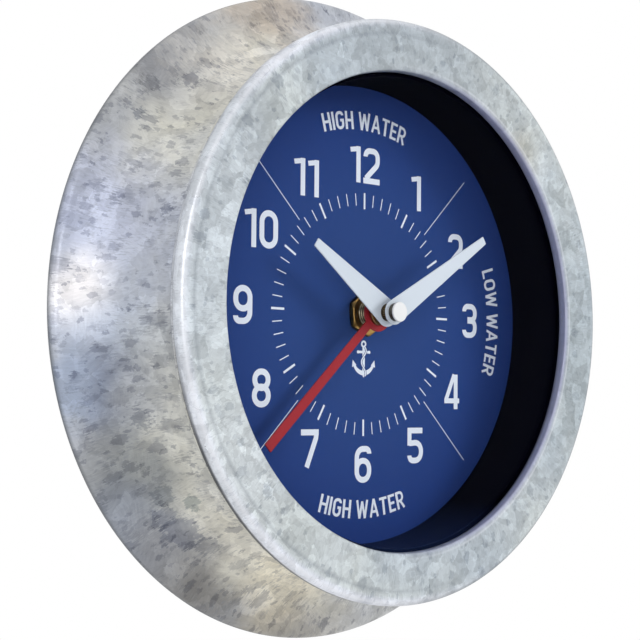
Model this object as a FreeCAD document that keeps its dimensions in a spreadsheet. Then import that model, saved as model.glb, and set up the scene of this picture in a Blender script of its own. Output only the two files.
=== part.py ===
import FreeCAD, Part
import math
import os
import re
import Sketcher
from FreeCAD import Placement, Rotation, Vector

# A round wall clock that shows the time and the tide. The frame is in millimetres:
# the origin is the centre of the back rim on the wall, +Y goes into the wall, +Z is up
# and the dial faces -Y. Depths in the sheet are counted from the front of the bezel.

document = FreeCAD.newDocument("tide_clock")
sheet = document.addObject("Spreadsheet::Sheet", "sizes")

caseSizes = [
    ("depth", 48.0, "front of the bezel to the wall"),
    ("rimRadius", 110.0, "largest radius, at the rolled back rim"),
    ("rimRoll", 2.7, "radius of the rolled rim"),
    ("backLand", 3.8, "width of the rim's flat land on the wall"),
    ("sheetWall", 0.8, "galvanised sheet"),
    ("neckRadius", 87.5, "case at its narrowest"),
    ("lipRadius", 94.6, "front lip of the case"),
    ("lipDepth", 4.3, "depth of the lip's front face"),
    ("lipHem", 1.6, "folded thickness of the lip"),
    ("flangeTurn", 1.0, "root of the front flange outside the neck"),
]
bezelSizes = [
    ("bezelRadius", 94.9, "outer radius of the bezel"),
    ("bezelOpening", 78.0, "radius of the opening"),
    ("bezelRound", 1.9, "round of the outer edge"),
    ("bezelHem", 0.7, "round of the inner edge"),
    ("bezelLip", 3.3, "depth of the inner lip"),
]
frontSizes = [
    ("seatGap", 0.3, "play round the glass and the sleeve"),
    ("sleeveBore", 76.0, "bore of the black sleeve"),
    ("sleeveWall", 2.0, "wall of the sleeve"),
    ("dialDepth", 24.3, "depth of the printed face"),
    ("dialThickness", 0.8, "dial plate"),
    ("dialRadius", 86.0, "dial plate"),
    ("spacerCircle", 82.2, "radius that the dial spacers stand on"),
    ("spacerFlats", 5.0, "hexagonal spacers, across the flats"),
]
movementSizes = [
    ("movementTop", 26.0, "top of the movement over the axis"),
    ("movementFoot", 32.0, "bottom of the movement under the axis"),
    ("movementCorner", 2.5, "bevelled corners"),
    ("movementDepth", 19.9, "thickness of the movement"),
    ("movementSplit", 9.3, "depth of the front half"),
    ("movementWall", 1.2, "moulded wall"),
    ("hangerHalf", 8.5, "half width of the hanger"),
    ("hangerTop", 44.0, "top of the hanger over the axis"),
    ("hangerRoot", 3.0, "hanger's root below the movement's top"),
    ("hangerBevel", 4.0, "corners of the hanger"),
    ("hangerThickness", 2.0, "hanger"),
    ("keyRadius", 4.5, "round of the keyhole"),
    ("keyHeight", 32.0, "keyhole's round over the axis"),
    ("keySlot", 2.3, "half width of the keyhole's slot"),
    ("keyTop", 39.5, "top of the keyhole's slot"),
    ("bushRadius", 4.5, "threaded bush"),
    ("bushFront", 19.0, "depth of the bush's front end"),
    ("bushPlay", 0.1, "hole in the dial over the bush"),
    ("nutFlats", 13.6, "across the flats"),
    ("nutHeight", 2.3, "hex nut"),
    ("nutChamfer", 0.6, "hex nut"),
    ("nutTurn", 24.0, "turn of the nut, in degrees"),
    ("runningGap", 0.05, "radial play of every turning fit"),
]
handSizes = [
    ("handThickness", 0.5, "aluminium hands"),
    ("minuteDepth", 9.6, "front of the minute hand"),
    ("minuteLength", 52.3, "axis to the tip"),
    ("minuteHub", 4.15, "hub radius"),
    ("minuteTip", 1.45, "half width of the tip"),
    ("minuteAngle", 58.4, "rest position, in degrees from 12"),
    ("hourDepth", 13.1, "front of the hour hand"),
    ("hourLength", 38.1, "axis to the tip"),
    ("hourHub", 4.7, "hub radius"),
    ("hourTip", 1.5, "half width of the tip"),
    ("hourAngle", 303.6, "rest position, in degrees from 12"),
    ("tideDepth", 17.4, "front of the tide hand"),
    ("tideLength", 65.0, "axis to the tip"),
    ("tideHub", 6.2, "hub ring radius"),
    ("tideRoot", 1.55, "half width by the hub"),
    ("tideTip", 1.75, "half width of the tip"),
    ("tideAngle", 227.0, "rest position, in degrees from 12"),
    ("colletRadius", 4.05, "brass collet of the tide hand"),
    ("colletFront", 1.1, "collet in front of the hand"),
    ("colletBack", 0.7, "collet behind the hand"),
    ("nutRadius", 1.9, "round nut on the minute shaft"),
    ("roundNutHeight", 1.9, "round nut on the minute shaft"),
    ("capRadius", 3.3, "white cap"),
    ("capThickness", 0.8, "white cap"),
    ("tipShaft", 1.2, "threaded tip of the minute shaft"),
    ("tipReach", 1.5, "tip in front of the minute hand"),
    ("minuteShaft", 1.75, "minute shaft"),
    ("hourTube", 2.87, "hour tube"),
    ("hourTubeReach", 2.5, "hour tube in front of its hand"),
    ("tideTube", 3.5, "tide tube"),
    ("tideTubeReach", 1.4, "tide tube in front of its hand"),
]
trainSizes = [
    ("gearModule", 0.5, "module of the motion work"),
    ("tideCentres", 13.0, "axis to the tide idler"),
    ("wheelThickness", 1.0, "wheels"),
    ("pinionSpare", 0.2, "pinions longer than their wheels, each side"),
    ("planeGap", 0.5, "between one plane of wheels and the next"),
    ("minuteWheelBearing", 60.0, "direction of the minute wheel, in degrees"),
    ("idlerBearing", 152.0, "direction of the tide idler, in degrees"),
    ("settingBearing", 18.0, "setting arbor seen from the minute wheel"),
    ("pinRadius", 0.9, "steel pins that the idlers turn on"),
    ("idlerHub", 1.8, "hubs of the wheels on the pins"),
    ("rearArbor", 0.8, "rear pivot of the minute shaft"),
    ("bridgeThickness", 1.0, "bridge over the motion work"),
    ("bridgeMargin", 5.0, "bridge in from the movement's sides"),
    ("bridgeTall", 30.0, "bridge over the motion work"),
    ("bridgeLift", 5.0, "centre of the bridge over the axis"),
    ("bridgePost", 4.0, "square posts under the bridge"),
    ("settingShaft", 1.3, "setting arbor"),
    ("knobRadius", 5.5, "setting knob"),
    ("knobThickness", 2.0, "setting knob"),
    ("knobGap", 0.3, "knob behind the movement"),
]
powerSizes = [
    ("cellRadius", 7.1, "single dry cell"),
    ("cellLength", 49.2, "body of the cell"),
    ("cellButton", 2.6, "radius of the positive button"),
    ("cellButtonHeight", 1.2, "height of the positive button"),
    ("cellSunk", 0.75, "cell in from the movement's back"),
    ("bayEndRoom", 3.4, "room for the contacts and the button in the battery bay"),
    ("bayWall", 1.7, "end walls of the battery bay"),
    ("bayHeight", 15.0, "battery bay"),
    ("bayCentre", 22.4, "centre of the bay under the axis"),
    ("bayPlay", 0.3, "bay floor under the cell"),
    ("contactThickness", 0.4, "spring contacts"),
    ("contactWidth", 8.0, "spring contacts"),
    ("contactHeight", 10.5, "spring contacts"),
    ("boardWidth", 23.0, "circuit board"),
    ("boardTall", 9.0, "circuit board"),
    ("boardThickness", 1.0, "circuit board"),
    ("crystalHeight", 2.0, "quartz crystal's can"),
    ("crystalLength", 6.0, "quartz crystal"),
    ("coilRadius", 3.0, "winding of the step motor"),
    ("coilLength", 14.0, "winding of the step motor"),
    ("coilCheek", 3.3, "cheeks of the bobbin"),
    ("coilCheekThickness", 0.8, "cheeks of the bobbin"),
    ("coreHalf", 1.2, "half height of the iron core"),
    ("statorThickness", 0.9, "stator"),
    ("motorLift", 19.5, "coil over the axis"),
    ("motorShift", -8.0, "motor to the side of the axis"),
    ("rotorLift", 10.5, "rotor over the axis"),
    ("rotorRadius", 1.4, "magnet of the rotor, drawn plain"),
    ("rotorShake", 0.1, "end play of the rotor"),
    ("airGap", 0.4, "between the rotor and the poles"),
    ("poleHalf", 2.9, "half height of the poles"),
    ("statorWidth", 19.0, "stator"),
    ("statorLeg", 2.4, "legs of the stator"),
    ("boardLift", -6.0, "board over the axis"),
]


def fillSheet(groups):
    row = 1
    for group in groups:
        for alias, number, note in group:
            sheet.set("A%d" % row, note)
            sheet.set("B%d" % row, str(number))
            sheet.setAlias("B%d" % row, alias)
            row += 1
    document.recompute()


fillSheet([caseSizes, bezelSizes, frontSizes, movementSizes, handSizes, trainSizes, powerSizes])

# The minute wheel gives 12 to 1, and the tide idler a tide hand that goes round once in a
# lunar day of 24 hours 50 minutes.
cannonTeeth = 10
minuteWheelTeeth = 30
minutePinionTeeth = 8
hourWheelTeeth = 32
tideDriverTeeth = 15
idlerWheelTeeth = 27
idlerPinionTeeth = 20
tideWheelTeeth = 23
settingTeeth = 10

spacerCount = 3
hexCornerCount = 6
knobCornerCount = 16


def link(text):
    """Turn plain size names into references to the sheet; functions and deg stay."""
    return re.sub(r"\b(?!deg\b)([a-z][A-Za-z]*)\b(?!\()", r"sizes.\1", text)


def size(text):
    return float(sheet.evalExpression(link(str(text))))


def bind(thing, prop, text):
    thing.setExpression(prop, link(str(text)))


def stand(thing, x="0", z="0", turn="0", y="0"):
    """Place a sub-part: its own depths start at the front of the bezel."""
    thing.Placement = Placement(Vector(0, 0, 0), Rotation(Vector(0, 1, 0), size(turn)))
    bind(thing, "Placement.Base.x", x)
    bind(thing, "Placement.Base.y", "%s - depth" % y)
    bind(thing, "Placement.Base.z", z)


def newBody(name, **place):
    body = document.addObject("PartDesign::Body", name)
    body.Label = name
    stand(body, **place)
    return body


def originOf(body, role):
    return [item for item in body.Origin.OriginFeatures if item.Role == role][0]


def sketchOn(body, role, name):
    sketch = body.newObject("Sketcher::SketchObject", name)
    sketch.AttachmentSupport = [(originOf(body, role), "")]
    sketch.MapMode = "FlatFace"
    return sketch


def sectionSketch(body, name):
    """A sketch of the section: radius to the right, depth upwards."""
    return sketchOn(body, "XY_Plane", name)


def faceSketch(body, name, depthText):
    """A sketch seen from the front, at a depth."""
    sketch = sketchOn(body, "XZ_Plane", name)
    bind(sketch, "AttachmentOffset.Base.z", "-(%s)" % depthText)
    return sketch


def fixPoint(sketch, curve, end, xText, yText):
    for kind, text in (("DistanceX", xText), ("DistanceY", yText)):
        index = sketch.addConstraint(Sketcher.Constraint(kind, -1, 1, curve, end, size(text)))
        bind(sketch, "Constraints[%d]" % index, text)


def arcThrough(start, end, radius, side):
    """The shorter arc between two points; side 1 bulges to the left of the chord."""
    chord = end - start
    half = chord.Length / 2
    rise = math.sqrt(max(radius * radius - half * half, 0))
    left = Vector(-chord.y, chord.x, 0).normalize()
    centre = (start + end) / 2 - left * rise * side
    first, last = (end, start) if side > 0 else (start, end)
    angles = [math.atan2(point.y - centre.y, point.x - centre.x) for point in (first, last)]
    if angles[1] < angles[0]:
        angles[1] += 2 * math.pi
    return Part.ArcOfCircle(Part.Circle(centre, Vector(0, 0, 1), radius), angles[0], angles[1])


def outline(sketch, points):
    """A closed outline. A point is (x, y), or (x, y, radius, side) to reach it by an arc."""
    places = [Vector(size(point[0]), size(point[1]), 0) for point in points]
    first = sketch.GeometryCount
    ends = []
    for index, point in enumerate(points):
        start = places[index - 1]
        end = places[index]
        if len(point) == 4:
            sketch.addGeometry(arcThrough(start, end, size(point[2]), point[3]))
            ends.append((2, 1) if point[3] > 0 else (1, 2))
        else:
            sketch.addGeometry(Part.LineSegment(start, end))
            ends.append((1, 2))
    for index, point in enumerate(points):
        after = (index + 1) % len(points)
        joint = (first + index, ends[index][1], first + after, ends[after][0])
        sketch.addConstraint(Sketcher.Constraint("Coincident", *joint))
    for index, point in enumerate(points):
        fixPoint(sketch, first + index, ends[index][1], point[0], point[1])
        if len(point) == 4:
            number = sketch.addConstraint(Sketcher.Constraint("Radius", first + index, size(point[2])))
            bind(sketch, "Constraints[%d]" % number, point[2])


def circle(sketch, xText, yText, radiusText):
    centre = Vector(size(xText), size(yText), 0)
    number = sketch.addGeometry(Part.Circle(centre, Vector(0, 0, 1), size(radiusText)))
    fixPoint(sketch, number, 3, xText, yText)
    index = sketch.addConstraint(Sketcher.Constraint("Radius", number, size(radiusText)))
    bind(sketch, "Constraints[%d]" % index, radiusText)


def rectangle(sketch, left, right, bottom, top):
    outline(sketch, [(left, bottom), (right, bottom), (right, top), (left, top)])


def bevelledRectangle(sketch, left, right, bottom, top, bevel):
    outline(sketch, [
        ("%s + %s" % (left, bevel), bottom),
        ("%s - %s" % (right, bevel), bottom),
        (right, "%s + %s" % (bottom, bevel)),
        (right, "%s - %s" % (top, bevel)),
        ("%s - %s" % (right, bevel), top),
        ("%s + %s" % (left, bevel), top),
        (left, "%s - %s" % (top, bevel)),
        (left, "%s + %s" % (bottom, bevel)),
    ])


def polygon(sketch, radiusText, count):
    """A regular polygon round the sketch's origin, with a corner to the right."""
    turns = ["(%d * 360 / %d)" % (step, count) for step in range(count)]
    outline(sketch, [(radiusText + " * cos" + turn, radiusText + " * sin" + turn) for turn in turns])


def bend(centre, radiusText, firstAngle, lastAngle, count):
    """Corners of a bend that is drawn as short lines, both ends included."""
    corners = []
    for step in range(count + 1):
        angle = "(%s + (%s - %s) * %d / %d)" % (firstAngle, lastAngle, firstAngle, step, count)
        corners.append(("%s + %s * cos(%s)" % (centre[0], radiusText, angle),
                        "%s + %s * sin(%s)" % (centre[1], radiusText, angle)))
    return corners


def revolve(body, points):
    """Turn a section round the clock's axis."""
    sketch = sectionSketch(body, body.Name + "_section")
    outline(sketch, points)
    feature = body.newObject("PartDesign::Revolution", body.Name + "_turned")
    feature.Profile = sketch
    feature.ReferenceAxis = (sketch, ["V_Axis"])
    feature.Angle = 360
    return feature


def pad(body, sketch, lengthText):
    """Thicken a front sketch towards the back."""
    feature = body.newObject("PartDesign::Pad", sketch.Name + "_pad")
    feature.Profile = sketch
    feature.Reversed = True
    bind(feature, "Length", lengthText)
    return feature


def pocket(body, sketch, lengthText):
    """Cut a front sketch towards the back."""
    feature = body.newObject("PartDesign::Pocket", sketch.Name + "_cut")
    feature.Profile = sketch
    bind(feature, "Length", lengthText)
    return feature


def ring(name, inner, outer, front, thickness, **place):
    """A flat ring, square in section."""
    body = newBody(name, **place)
    back = "%s + %s" % (front, thickness)
    revolve(body, [(inner, front), (outer, front), (outer, back), (inner, back)])
    return body


def edgesOf(feature):
    """The feature's edges by name, in the sub-part's own frame."""
    document.recompute()
    return [("Edge%d" % (index + 1), edge) for index, edge in enumerate(feature.Shape.Edges)]


def compound(name, parts):
    """Several separate solids kept as one node."""
    group = document.addObject("Part::Compound", name)
    group.Label = name
    group.Links = parts
    return group


nodes = []

# Depths worked out from the driving sizes
dialBack = "(dialDepth + dialThickness)"
movementFront = dialBack
movementInside = "(dialDepth + dialThickness + movementWall)"
movementJoin = "(dialDepth + dialThickness + movementSplit)"
movementBack = "(dialDepth + dialThickness + movementDepth)"
bayLength = "(cellLength + bayEndRoom)"
movementWidth = "(cellLength + bayEndRoom + 2 * bayWall)"


def makeCase():
    """The flared shell: front flange, hemmed lip, neck, cove and rolled rim."""
    body = newBody("case_shell")
    flare = "(lipRadius - neckRadius)"
    neckDepth = "(lipDepth + lipHem + lipRadius - neckRadius)"
    rollRadius = "(rimRadius - rimRoll)"
    rollDepth = "(depth - rimRoll)"
    across = "(%s - neckRadius)" % rollRadius
    along = "(%s - %s)" % (rollDepth, neckDepth)
    cove = "((%s^2 + %s^2 - rimRoll^2) / (2 * (rimRoll + %s)))" % (across, along, across)
    coveCentre = ("(neckRadius + %s)" % cove, neckDepth)
    sweep = "acos((neckRadius + %s - %s) / (%s + rimRoll))" % (cove, rollRadius, cove)
    toNeck = "180 deg"
    toRim = "(180 deg - %s)" % sweep
    innerBends = 3
    inner = "((%s + sheetWall) / cos(%s / %d))" % (cove, sweep, 2 * innerBends)
    outside = [
        ("sleeveBore + sleeveWall + seatGap", "lipDepth"),
        ("lipRadius", "lipDepth"),
        *bend(("lipRadius", neckDepth), flare, "270 deg", toNeck, 2)[:-1],
        *bend(coveCentre, cove, toNeck, toRim, 6),
        *bend((rollRadius, rollDepth), "rimRoll", "0 deg", "90 deg", 2),
    ]
    inside = [
        (rollRadius + " - backLand", "depth"),
        *bend(coveCentre, inner, toRim, toNeck, innerBends)[:-1],
        ("neckRadius - sheetWall", neckDepth),
        ("neckRadius + flangeTurn", "lipDepth + sheetWall"),
        ("sleeveBore + sleeveWall + seatGap", "lipDepth + sheetWall"),
    ]
    revolve(body, outside + inside)
    nodes.append(body)


def makeBezel():
    """The pressed ring: rolled inner lip, face, round edge and a skirt on the case's lip."""
    body = newBody("bezel_ring")
    skirtInside = "bezelRadius - sheetWall"
    revolve(body, [
        ("bezelOpening", "bezelLip"),
        ("bezelOpening", "bezelHem"),
        ("bezelOpening + bezelHem", "0"),
        ("bezelRadius - bezelRound", "0"),
        ("bezelRadius", "bezelRound"),
        ("bezelRadius", "lipDepth"),
        (skirtInside, "lipDepth"),
        (skirtInside, "bezelRound"),
        ("bezelRadius - bezelRound", "sheetWall"),
        ("bezelOpening + sheetWall", "sheetWall"),
        ("bezelOpening + sheetWall", "bezelLip"),
    ])
    nodes.append(body)


def makeFront():
    """Glass under the bezel, the sleeve behind it, the dial plate and its three spacers."""
    glassRadius = "bezelRadius - sheetWall - seatGap"
    nodes.append(makeDisc("glass_lens", glassRadius, "bezelLip", "(lipDepth - bezelLip)"))
    sleeveOutside = "sleeveBore + sleeveWall"
    nodes.append(ring("dial_sleeve", "sleeveBore", sleeveOutside, "lipDepth", "dialDepth - lipDepth"))
    nodes.append(ring("dial_plate", "bushRadius + bushPlay", "dialRadius", "dialDepth", "dialThickness"))
    spacers = []
    for number in range(spacerCount):
        bearing = "(%d * 360 / %d + 90)" % (number, spacerCount)
        place = ("spacerCircle * cos" + bearing, "spacerCircle * sin" + bearing)
        spacer = newBody("spacer_%d" % number, x=place[0], z=place[1])
        section = faceSketch(spacer, "spacer_flats_%d" % number, "(lipDepth + sheetWall)")
        polygon(section, "(spacerFlats / sqrt(3))", hexCornerCount)
        pad(spacer, section, "dialDepth - lipDepth - sheetWall")
        spacers.append(spacer)
    nodes.append(compound("dial_spacers", spacers))


def makeDisc(name, radius, front, thickness):
    body = newBody(name)
    back = "%s + %s" % (front, thickness)
    revolve(body, [("0", front), (radius, front), (radius, back), ("0", back)])
    return body


# Planes of the motion work, from the front wall of the movement towards the back
tidePlane = "(%s + planeGap)" % movementInside
driverPlane = "(%s + wheelThickness + planeGap)" % tidePlane
hourPlane = "(%s + wheelThickness + planeGap)" % driverPlane
minutePlane = "(%s + wheelThickness + planeGap)" % hourPlane
bridgePlane = "(%s - bridgeThickness)" % movementJoin

motionCentres = "(gearModule * %d)" % ((cannonTeeth + minuteWheelTeeth) // 2)
driverModule = "(tideCentres * 2 / %d)" % (tideDriverTeeth + idlerWheelTeeth)
tideModule = "(tideCentres * 2 / %d)" % (idlerPinionTeeth + tideWheelTeeth)
settingCentres = "(gearModule * %d / 2)" % (minuteWheelTeeth + settingTeeth)
minuteWheelX = "(%s * cos(minuteWheelBearing))" % motionCentres
minuteWheelZ = "(%s * sin(minuteWheelBearing))" % motionCentres
idlerX = "(tideCentres * cos(idlerBearing))"
idlerZ = "(tideCentres * sin(idlerBearing))"
settingX = "(%s + %s * cos(settingBearing))" % (minuteWheelX, settingCentres)
settingZ = "(%s + %s * sin(settingBearing))" % (minuteWheelZ, settingCentres)


def makeMovementCase():
    """The two moulded halves, the bush and its nut, and the bridge on its posts."""
    left, right = "-%s / 2" % movementWidth, "%s / 2" % movementWidth
    bottom, top = "-movementFoot", "movementTop"
    bayBottom = "(-bayCentre - bayHeight / 2)"
    bayTop = "(-bayCentre + bayHeight / 2)"
    roomLeft, roomRight = left + " + movementWall", right + " - movementWall"
    roomBottom, roomTop = bayTop + " + movementWall", top + " - movementWall"

    front = newBody("movement_front")
    shell = faceSketch(front, "front_shell", movementFront)
    bevelledRectangle(shell, left, right, bottom, top, "movementCorner")
    pad(front, shell, "movementSplit")
    room = faceSketch(front, "front_room", movementInside)
    rectangle(room, roomLeft, roomRight, roomBottom, roomTop)
    pocket(front, room, "movementSplit - movementWall")
    bayFloor = "(%s - cellSunk - 2 * cellRadius - bayPlay)" % movementBack
    bay = faceSketch(front, "front_bay", bayFloor)
    rectangle(bay, "-%s / 2" % bayLength, "%s / 2" % bayLength, bayBottom, bayTop)
    pocket(front, bay, "%s - %s" % (movementJoin, bayFloor))
    post = faceSketch(front, "bridge_posts", movementInside)
    bridgeLeft, bridgeRight = left + " + bridgeMargin", right + " - bridgeMargin"
    bridgeTop = "(bridgeLift + bridgeTall / 2)"
    bridgeFoot = "(bridgeLift - bridgeTall / 2)"
    rectangle(post, bridgeLeft, bridgeLeft + " + bridgePost", bridgeTop + " - bridgePost", bridgeTop)
    rectangle(post, bridgeRight + " - bridgePost", bridgeRight, bridgeFoot, bridgeFoot + " + bridgePost")
    pad(front, post, "%s - %s" % (bridgePlane, movementInside))
    bushHole = faceSketch(front, "bush_hole", movementFront)
    circle(bushHole, "0", "0", "bushRadius")
    pocket(front, bushHole, "movementWall")
    nodes.append(front)

    rear = newBody("movement_rear")
    shell = faceSketch(rear, "rear_shell", movementJoin)
    bevelledRectangle(shell, left, right, bottom, top, "movementCorner")
    rearDepth = "(movementDepth - movementSplit)"
    pad(rear, shell, rearDepth)
    room = faceSketch(rear, "rear_room", movementJoin)
    rectangle(room, roomLeft, roomRight, roomBottom, roomTop)
    pocket(rear, room, rearDepth + " - movementWall")
    bay = faceSketch(rear, "rear_bay", movementJoin)
    rectangle(bay, "-%s / 2" % bayLength, "%s / 2" % bayLength, bayBottom, bayTop)
    pocket(rear, bay, rearDepth)
    knobHole = faceSketch(rear, "knob_hole", movementBack + " - movementWall")
    circle(knobHole, settingX, settingZ, "settingShaft + runningGap")
    pocket(rear, knobHole, "movementWall")
    hanger = faceSketch(rear, "hanger", movementBack + " - hangerThickness")
    outline(hanger, [
        ("-hangerHalf", "movementTop - hangerRoot"),
        ("hangerHalf", "movementTop - hangerRoot"),
        ("hangerHalf", "hangerTop - hangerBevel"),
        ("hangerHalf - hangerBevel", "hangerTop"),
        ("-hangerHalf + hangerBevel", "hangerTop"),
        ("-hangerHalf", "hangerTop - hangerBevel"),
    ])
    pad(rear, hanger, "hangerThickness")
    keyhole = faceSketch(rear, "keyhole", movementBack + " - hangerThickness")
    shoulder = "(keyHeight + sqrt(keyRadius^2 - keySlot^2))"
    outline(keyhole, [
        ("keySlot", "keyTop - keySlot"),
        ("0", "keyTop", "keySlot", -1),
        ("-keySlot", "keyTop - keySlot", "keySlot", -1),
        ("-keySlot", shoulder),
        ("-keyRadius", "keyHeight", "keyRadius", -1),
        ("0", "keyHeight - keyRadius", "keyRadius", -1),
        ("keyRadius", "keyHeight", "keyRadius", -1),
        ("keySlot", shoulder, "keyRadius", -1),
    ])
    pocket(rear, keyhole, "hangerThickness")
    nodes.append(rear)

    bush = newBody("threaded_bush")
    bore = "tideTube + runningGap"
    revolve(bush, [
        (bore, "bushFront"),
        ("bushRadius", "bushFront"),
        ("bushRadius", movementInside),
        (bore, movementInside),
    ])
    nodes.append(bush)

    nut = newBody("hex_nut", turn="nutTurn")
    corner = "(nutFlats / sqrt(3))"
    nutFront = "(dialDepth - nutHeight)"
    sketch = faceSketch(nut, "nut_flats", nutFront)
    polygon(sketch, corner, hexCornerCount)
    hexagon = pad(nut, sketch, "nutHeight")
    halfWay = size(nutFront + " + nutHeight / 2")
    rims = [name for name, edge in edgesOf(hexagon) if edge.BoundBox.YMax < halfWay]
    bevel = nut.newObject("PartDesign::Chamfer", "nut_bevel")
    bevel.Base = (hexagon, rims)
    bind(bevel, "Size", "nutChamfer")
    bore = faceSketch(nut, "nut_bore", nutFront)
    circle(bore, "0", "0", "bushRadius")
    pocket(nut, bore, "nutHeight")
    nodes.append(nut)

    bridge = newBody("train_bridge")
    plate = faceSketch(bridge, "bridge_plate", bridgePlane)
    rectangle(plate, bridgeLeft, bridgeRight, bridgeFoot, bridgeTop)
    pad(bridge, plate, "bridgeThickness")
    holes = faceSketch(bridge, "bridge_holes", bridgePlane)
    circle(holes, "0", "0", "rearArbor + runningGap")
    circle(holes, settingX, settingZ, "settingShaft + runningGap")
    pocket(bridge, holes, "bridgeThickness")
    nodes.append(bridge)

    pins = []
    for name, x, z in (("minute", minuteWheelX, minuteWheelZ), ("idler", idlerX, idlerZ)):
        pin = newBody("pin_" + name, x=x, z=z)
        revolve(pin, [("0", movementInside), ("pinRadius", movementInside),
                      ("pinRadius", bridgePlane), ("0", bridgePlane)])
        pins.append(pin)
    nodes.append(compound("train_pins", pins))


# Shape of a tooth, as shares of the module and of the tooth pitch
toothTipShare = 0.8
toothRootShare = 1.35
tipWidthShare = 0.1


def gearWire(count, module, phase):
    """The outline of a gear in the plane of the dial, with a tooth at the phase angle."""
    pitch = count * module / 2
    tip = pitch + toothTipShare * module
    root = pitch - toothRootShare * module
    step = 2 * math.pi / count
    points = []
    for number in range(count):
        middle = math.radians(phase) + number * step
        for radius, share in ((root, -1), (tip, -tipWidthShare), (tip, tipWidthShare)):
            angle = middle + share * step / 2
            points.append(Vector(radius * math.cos(angle), 0, radius * math.sin(angle)))
    return Part.makePolygon(points + points[:1])


def gear(count, module, phase, front, thickness):
    face = Part.Face(gearWire(count, module, phase))
    face.translate(Vector(0, front, 0))
    return face.extrude(Vector(0, thickness, 0))


def rod(radius, front, back):
    return Part.makeCylinder(radius, back - front, Vector(0, front, 0), Vector(0, 1, 0))


def meshPhase(bearing, phase, count, otherCount):
    """Phase of a gear that meshes with one whose tooth phase is known."""
    return bearing + 180 + 180 / otherCount - (phase - bearing) * count / otherCount


def turned(name, shape, x="0", z="0"):
    """A turned and cut piece of the train, in its place."""
    feature = document.addObject("Part::Feature", name)
    feature.Label = name
    feature.Shape = shape.removeSplitter()
    stand(feature, x=x, z=z)
    nodes.append(feature)
    return feature


def makeTrain():
    """Motion work: minute shaft, minute wheel, hour wheel, tide idler and tide wheel."""
    module = size("gearModule")
    firstModule = size(driverModule)
    secondModule = size(tideModule)
    thick = size("wheelThickness")
    spare = size("pinionSpare")
    gap = size("runningGap")
    tideFront = size(tidePlane)
    driverFront = size(driverPlane)
    hourFront = size(hourPlane)
    minuteFront = size(minutePlane)
    bridgeFront = size(bridgePlane)
    bearing = size("minuteWheelBearing")
    idlerBearing = size("idlerBearing")
    pinBore = size("pinRadius") + gap

    tip = size("minuteDepth - tipReach")
    seat = size("minuteDepth + handThickness")
    shaft = rod(size("tipShaft"), tip, seat)
    shaft = shaft.fuse(rod(size("minuteShaft"), seat, minuteFront - spare))
    shaft = shaft.fuse(gear(cannonTeeth, module, bearing, minuteFront - spare, thick + 2 * spare))
    shaft = shaft.fuse(rod(size("rearArbor"), minuteFront + thick + spare, size(movementJoin + " + seatGap")))
    turned("minute_shaft", shaft)

    wheelPhase = meshPhase(bearing, bearing, cannonTeeth, minuteWheelTeeth)
    pinionPhase = bearing + 180
    wheel = gear(minuteWheelTeeth, module, wheelPhase, minuteFront, thick)
    pinionFront = hourFront - spare
    wheel = wheel.fuse(gear(minutePinionTeeth, module, pinionPhase, pinionFront, minuteFront - pinionFront))
    wheel = wheel.fuse(rod(size("idlerHub"), minuteFront + thick, bridgeFront - spare))
    wheel = wheel.cut(rod(pinBore, pinionFront, bridgeFront))
    turned("minute_wheel", wheel, minuteWheelX, minuteWheelZ)

    hourPhase = meshPhase(bearing + 180, pinionPhase, minutePinionTeeth, hourWheelTeeth)
    hour = gear(hourWheelTeeth, module, hourPhase, hourFront, thick)
    hour = hour.fuse(gear(tideDriverTeeth, firstModule, idlerBearing, driverFront, thick))
    hour = hour.fuse(rod(size("hourTube"), size("hourDepth - hourTubeReach"), hourFront + thick))
    hour = hour.cut(rod(size("minuteShaft + runningGap"), 0, hourFront + thick))
    turned("hour_wheel", hour)

    idlerPhase = meshPhase(idlerBearing, idlerBearing, tideDriverTeeth, idlerWheelTeeth)
    idler = gear(idlerWheelTeeth, firstModule, idlerPhase, driverFront, thick)
    idler = idler.fuse(gear(idlerPinionTeeth, secondModule, idlerBearing + 180, tideFront, thick))
    idler = idler.fuse(rod(size("idlerHub"), tideFront, bridgeFront - spare))
    idler = idler.cut(rod(pinBore, tideFront, bridgeFront))
    turned("tide_idler", idler, idlerX, idlerZ)

    tidePhase = meshPhase(idlerBearing + 180, idlerBearing + 180, idlerPinionTeeth, tideWheelTeeth)
    tide = gear(tideWheelTeeth, secondModule, tidePhase, tideFront, thick)
    tide = tide.fuse(rod(size("tideTube"), size("tideDepth - tideTubeReach"), tideFront + thick))
    tide = tide.cut(rod(size("hourTube + runningGap"), 0, tideFront + thick))
    turned("tide_wheel", tide)

    setBearing = size("settingBearing")
    setPhase = meshPhase(setBearing, wheelPhase, minuteWheelTeeth, settingTeeth)
    back = size(movementBack)
    arbor = gear(settingTeeth, module, setPhase, minuteFront - spare, thick + 2 * spare)
    arbor = arbor.fuse(rod(size("settingShaft"), minuteFront + thick, back + size("knobGap")))
    turned("setting_arbor", arbor, settingX, settingZ)

    knob = newBody("setting_knob", x=settingX, z=settingZ)
    grip = faceSketch(knob, "knob_grip", movementBack + " + knobGap")
    polygon(grip, "knobRadius", knobCornerCount)
    pad(knob, grip, "knobThickness")
    nodes.append(knob)


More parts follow.
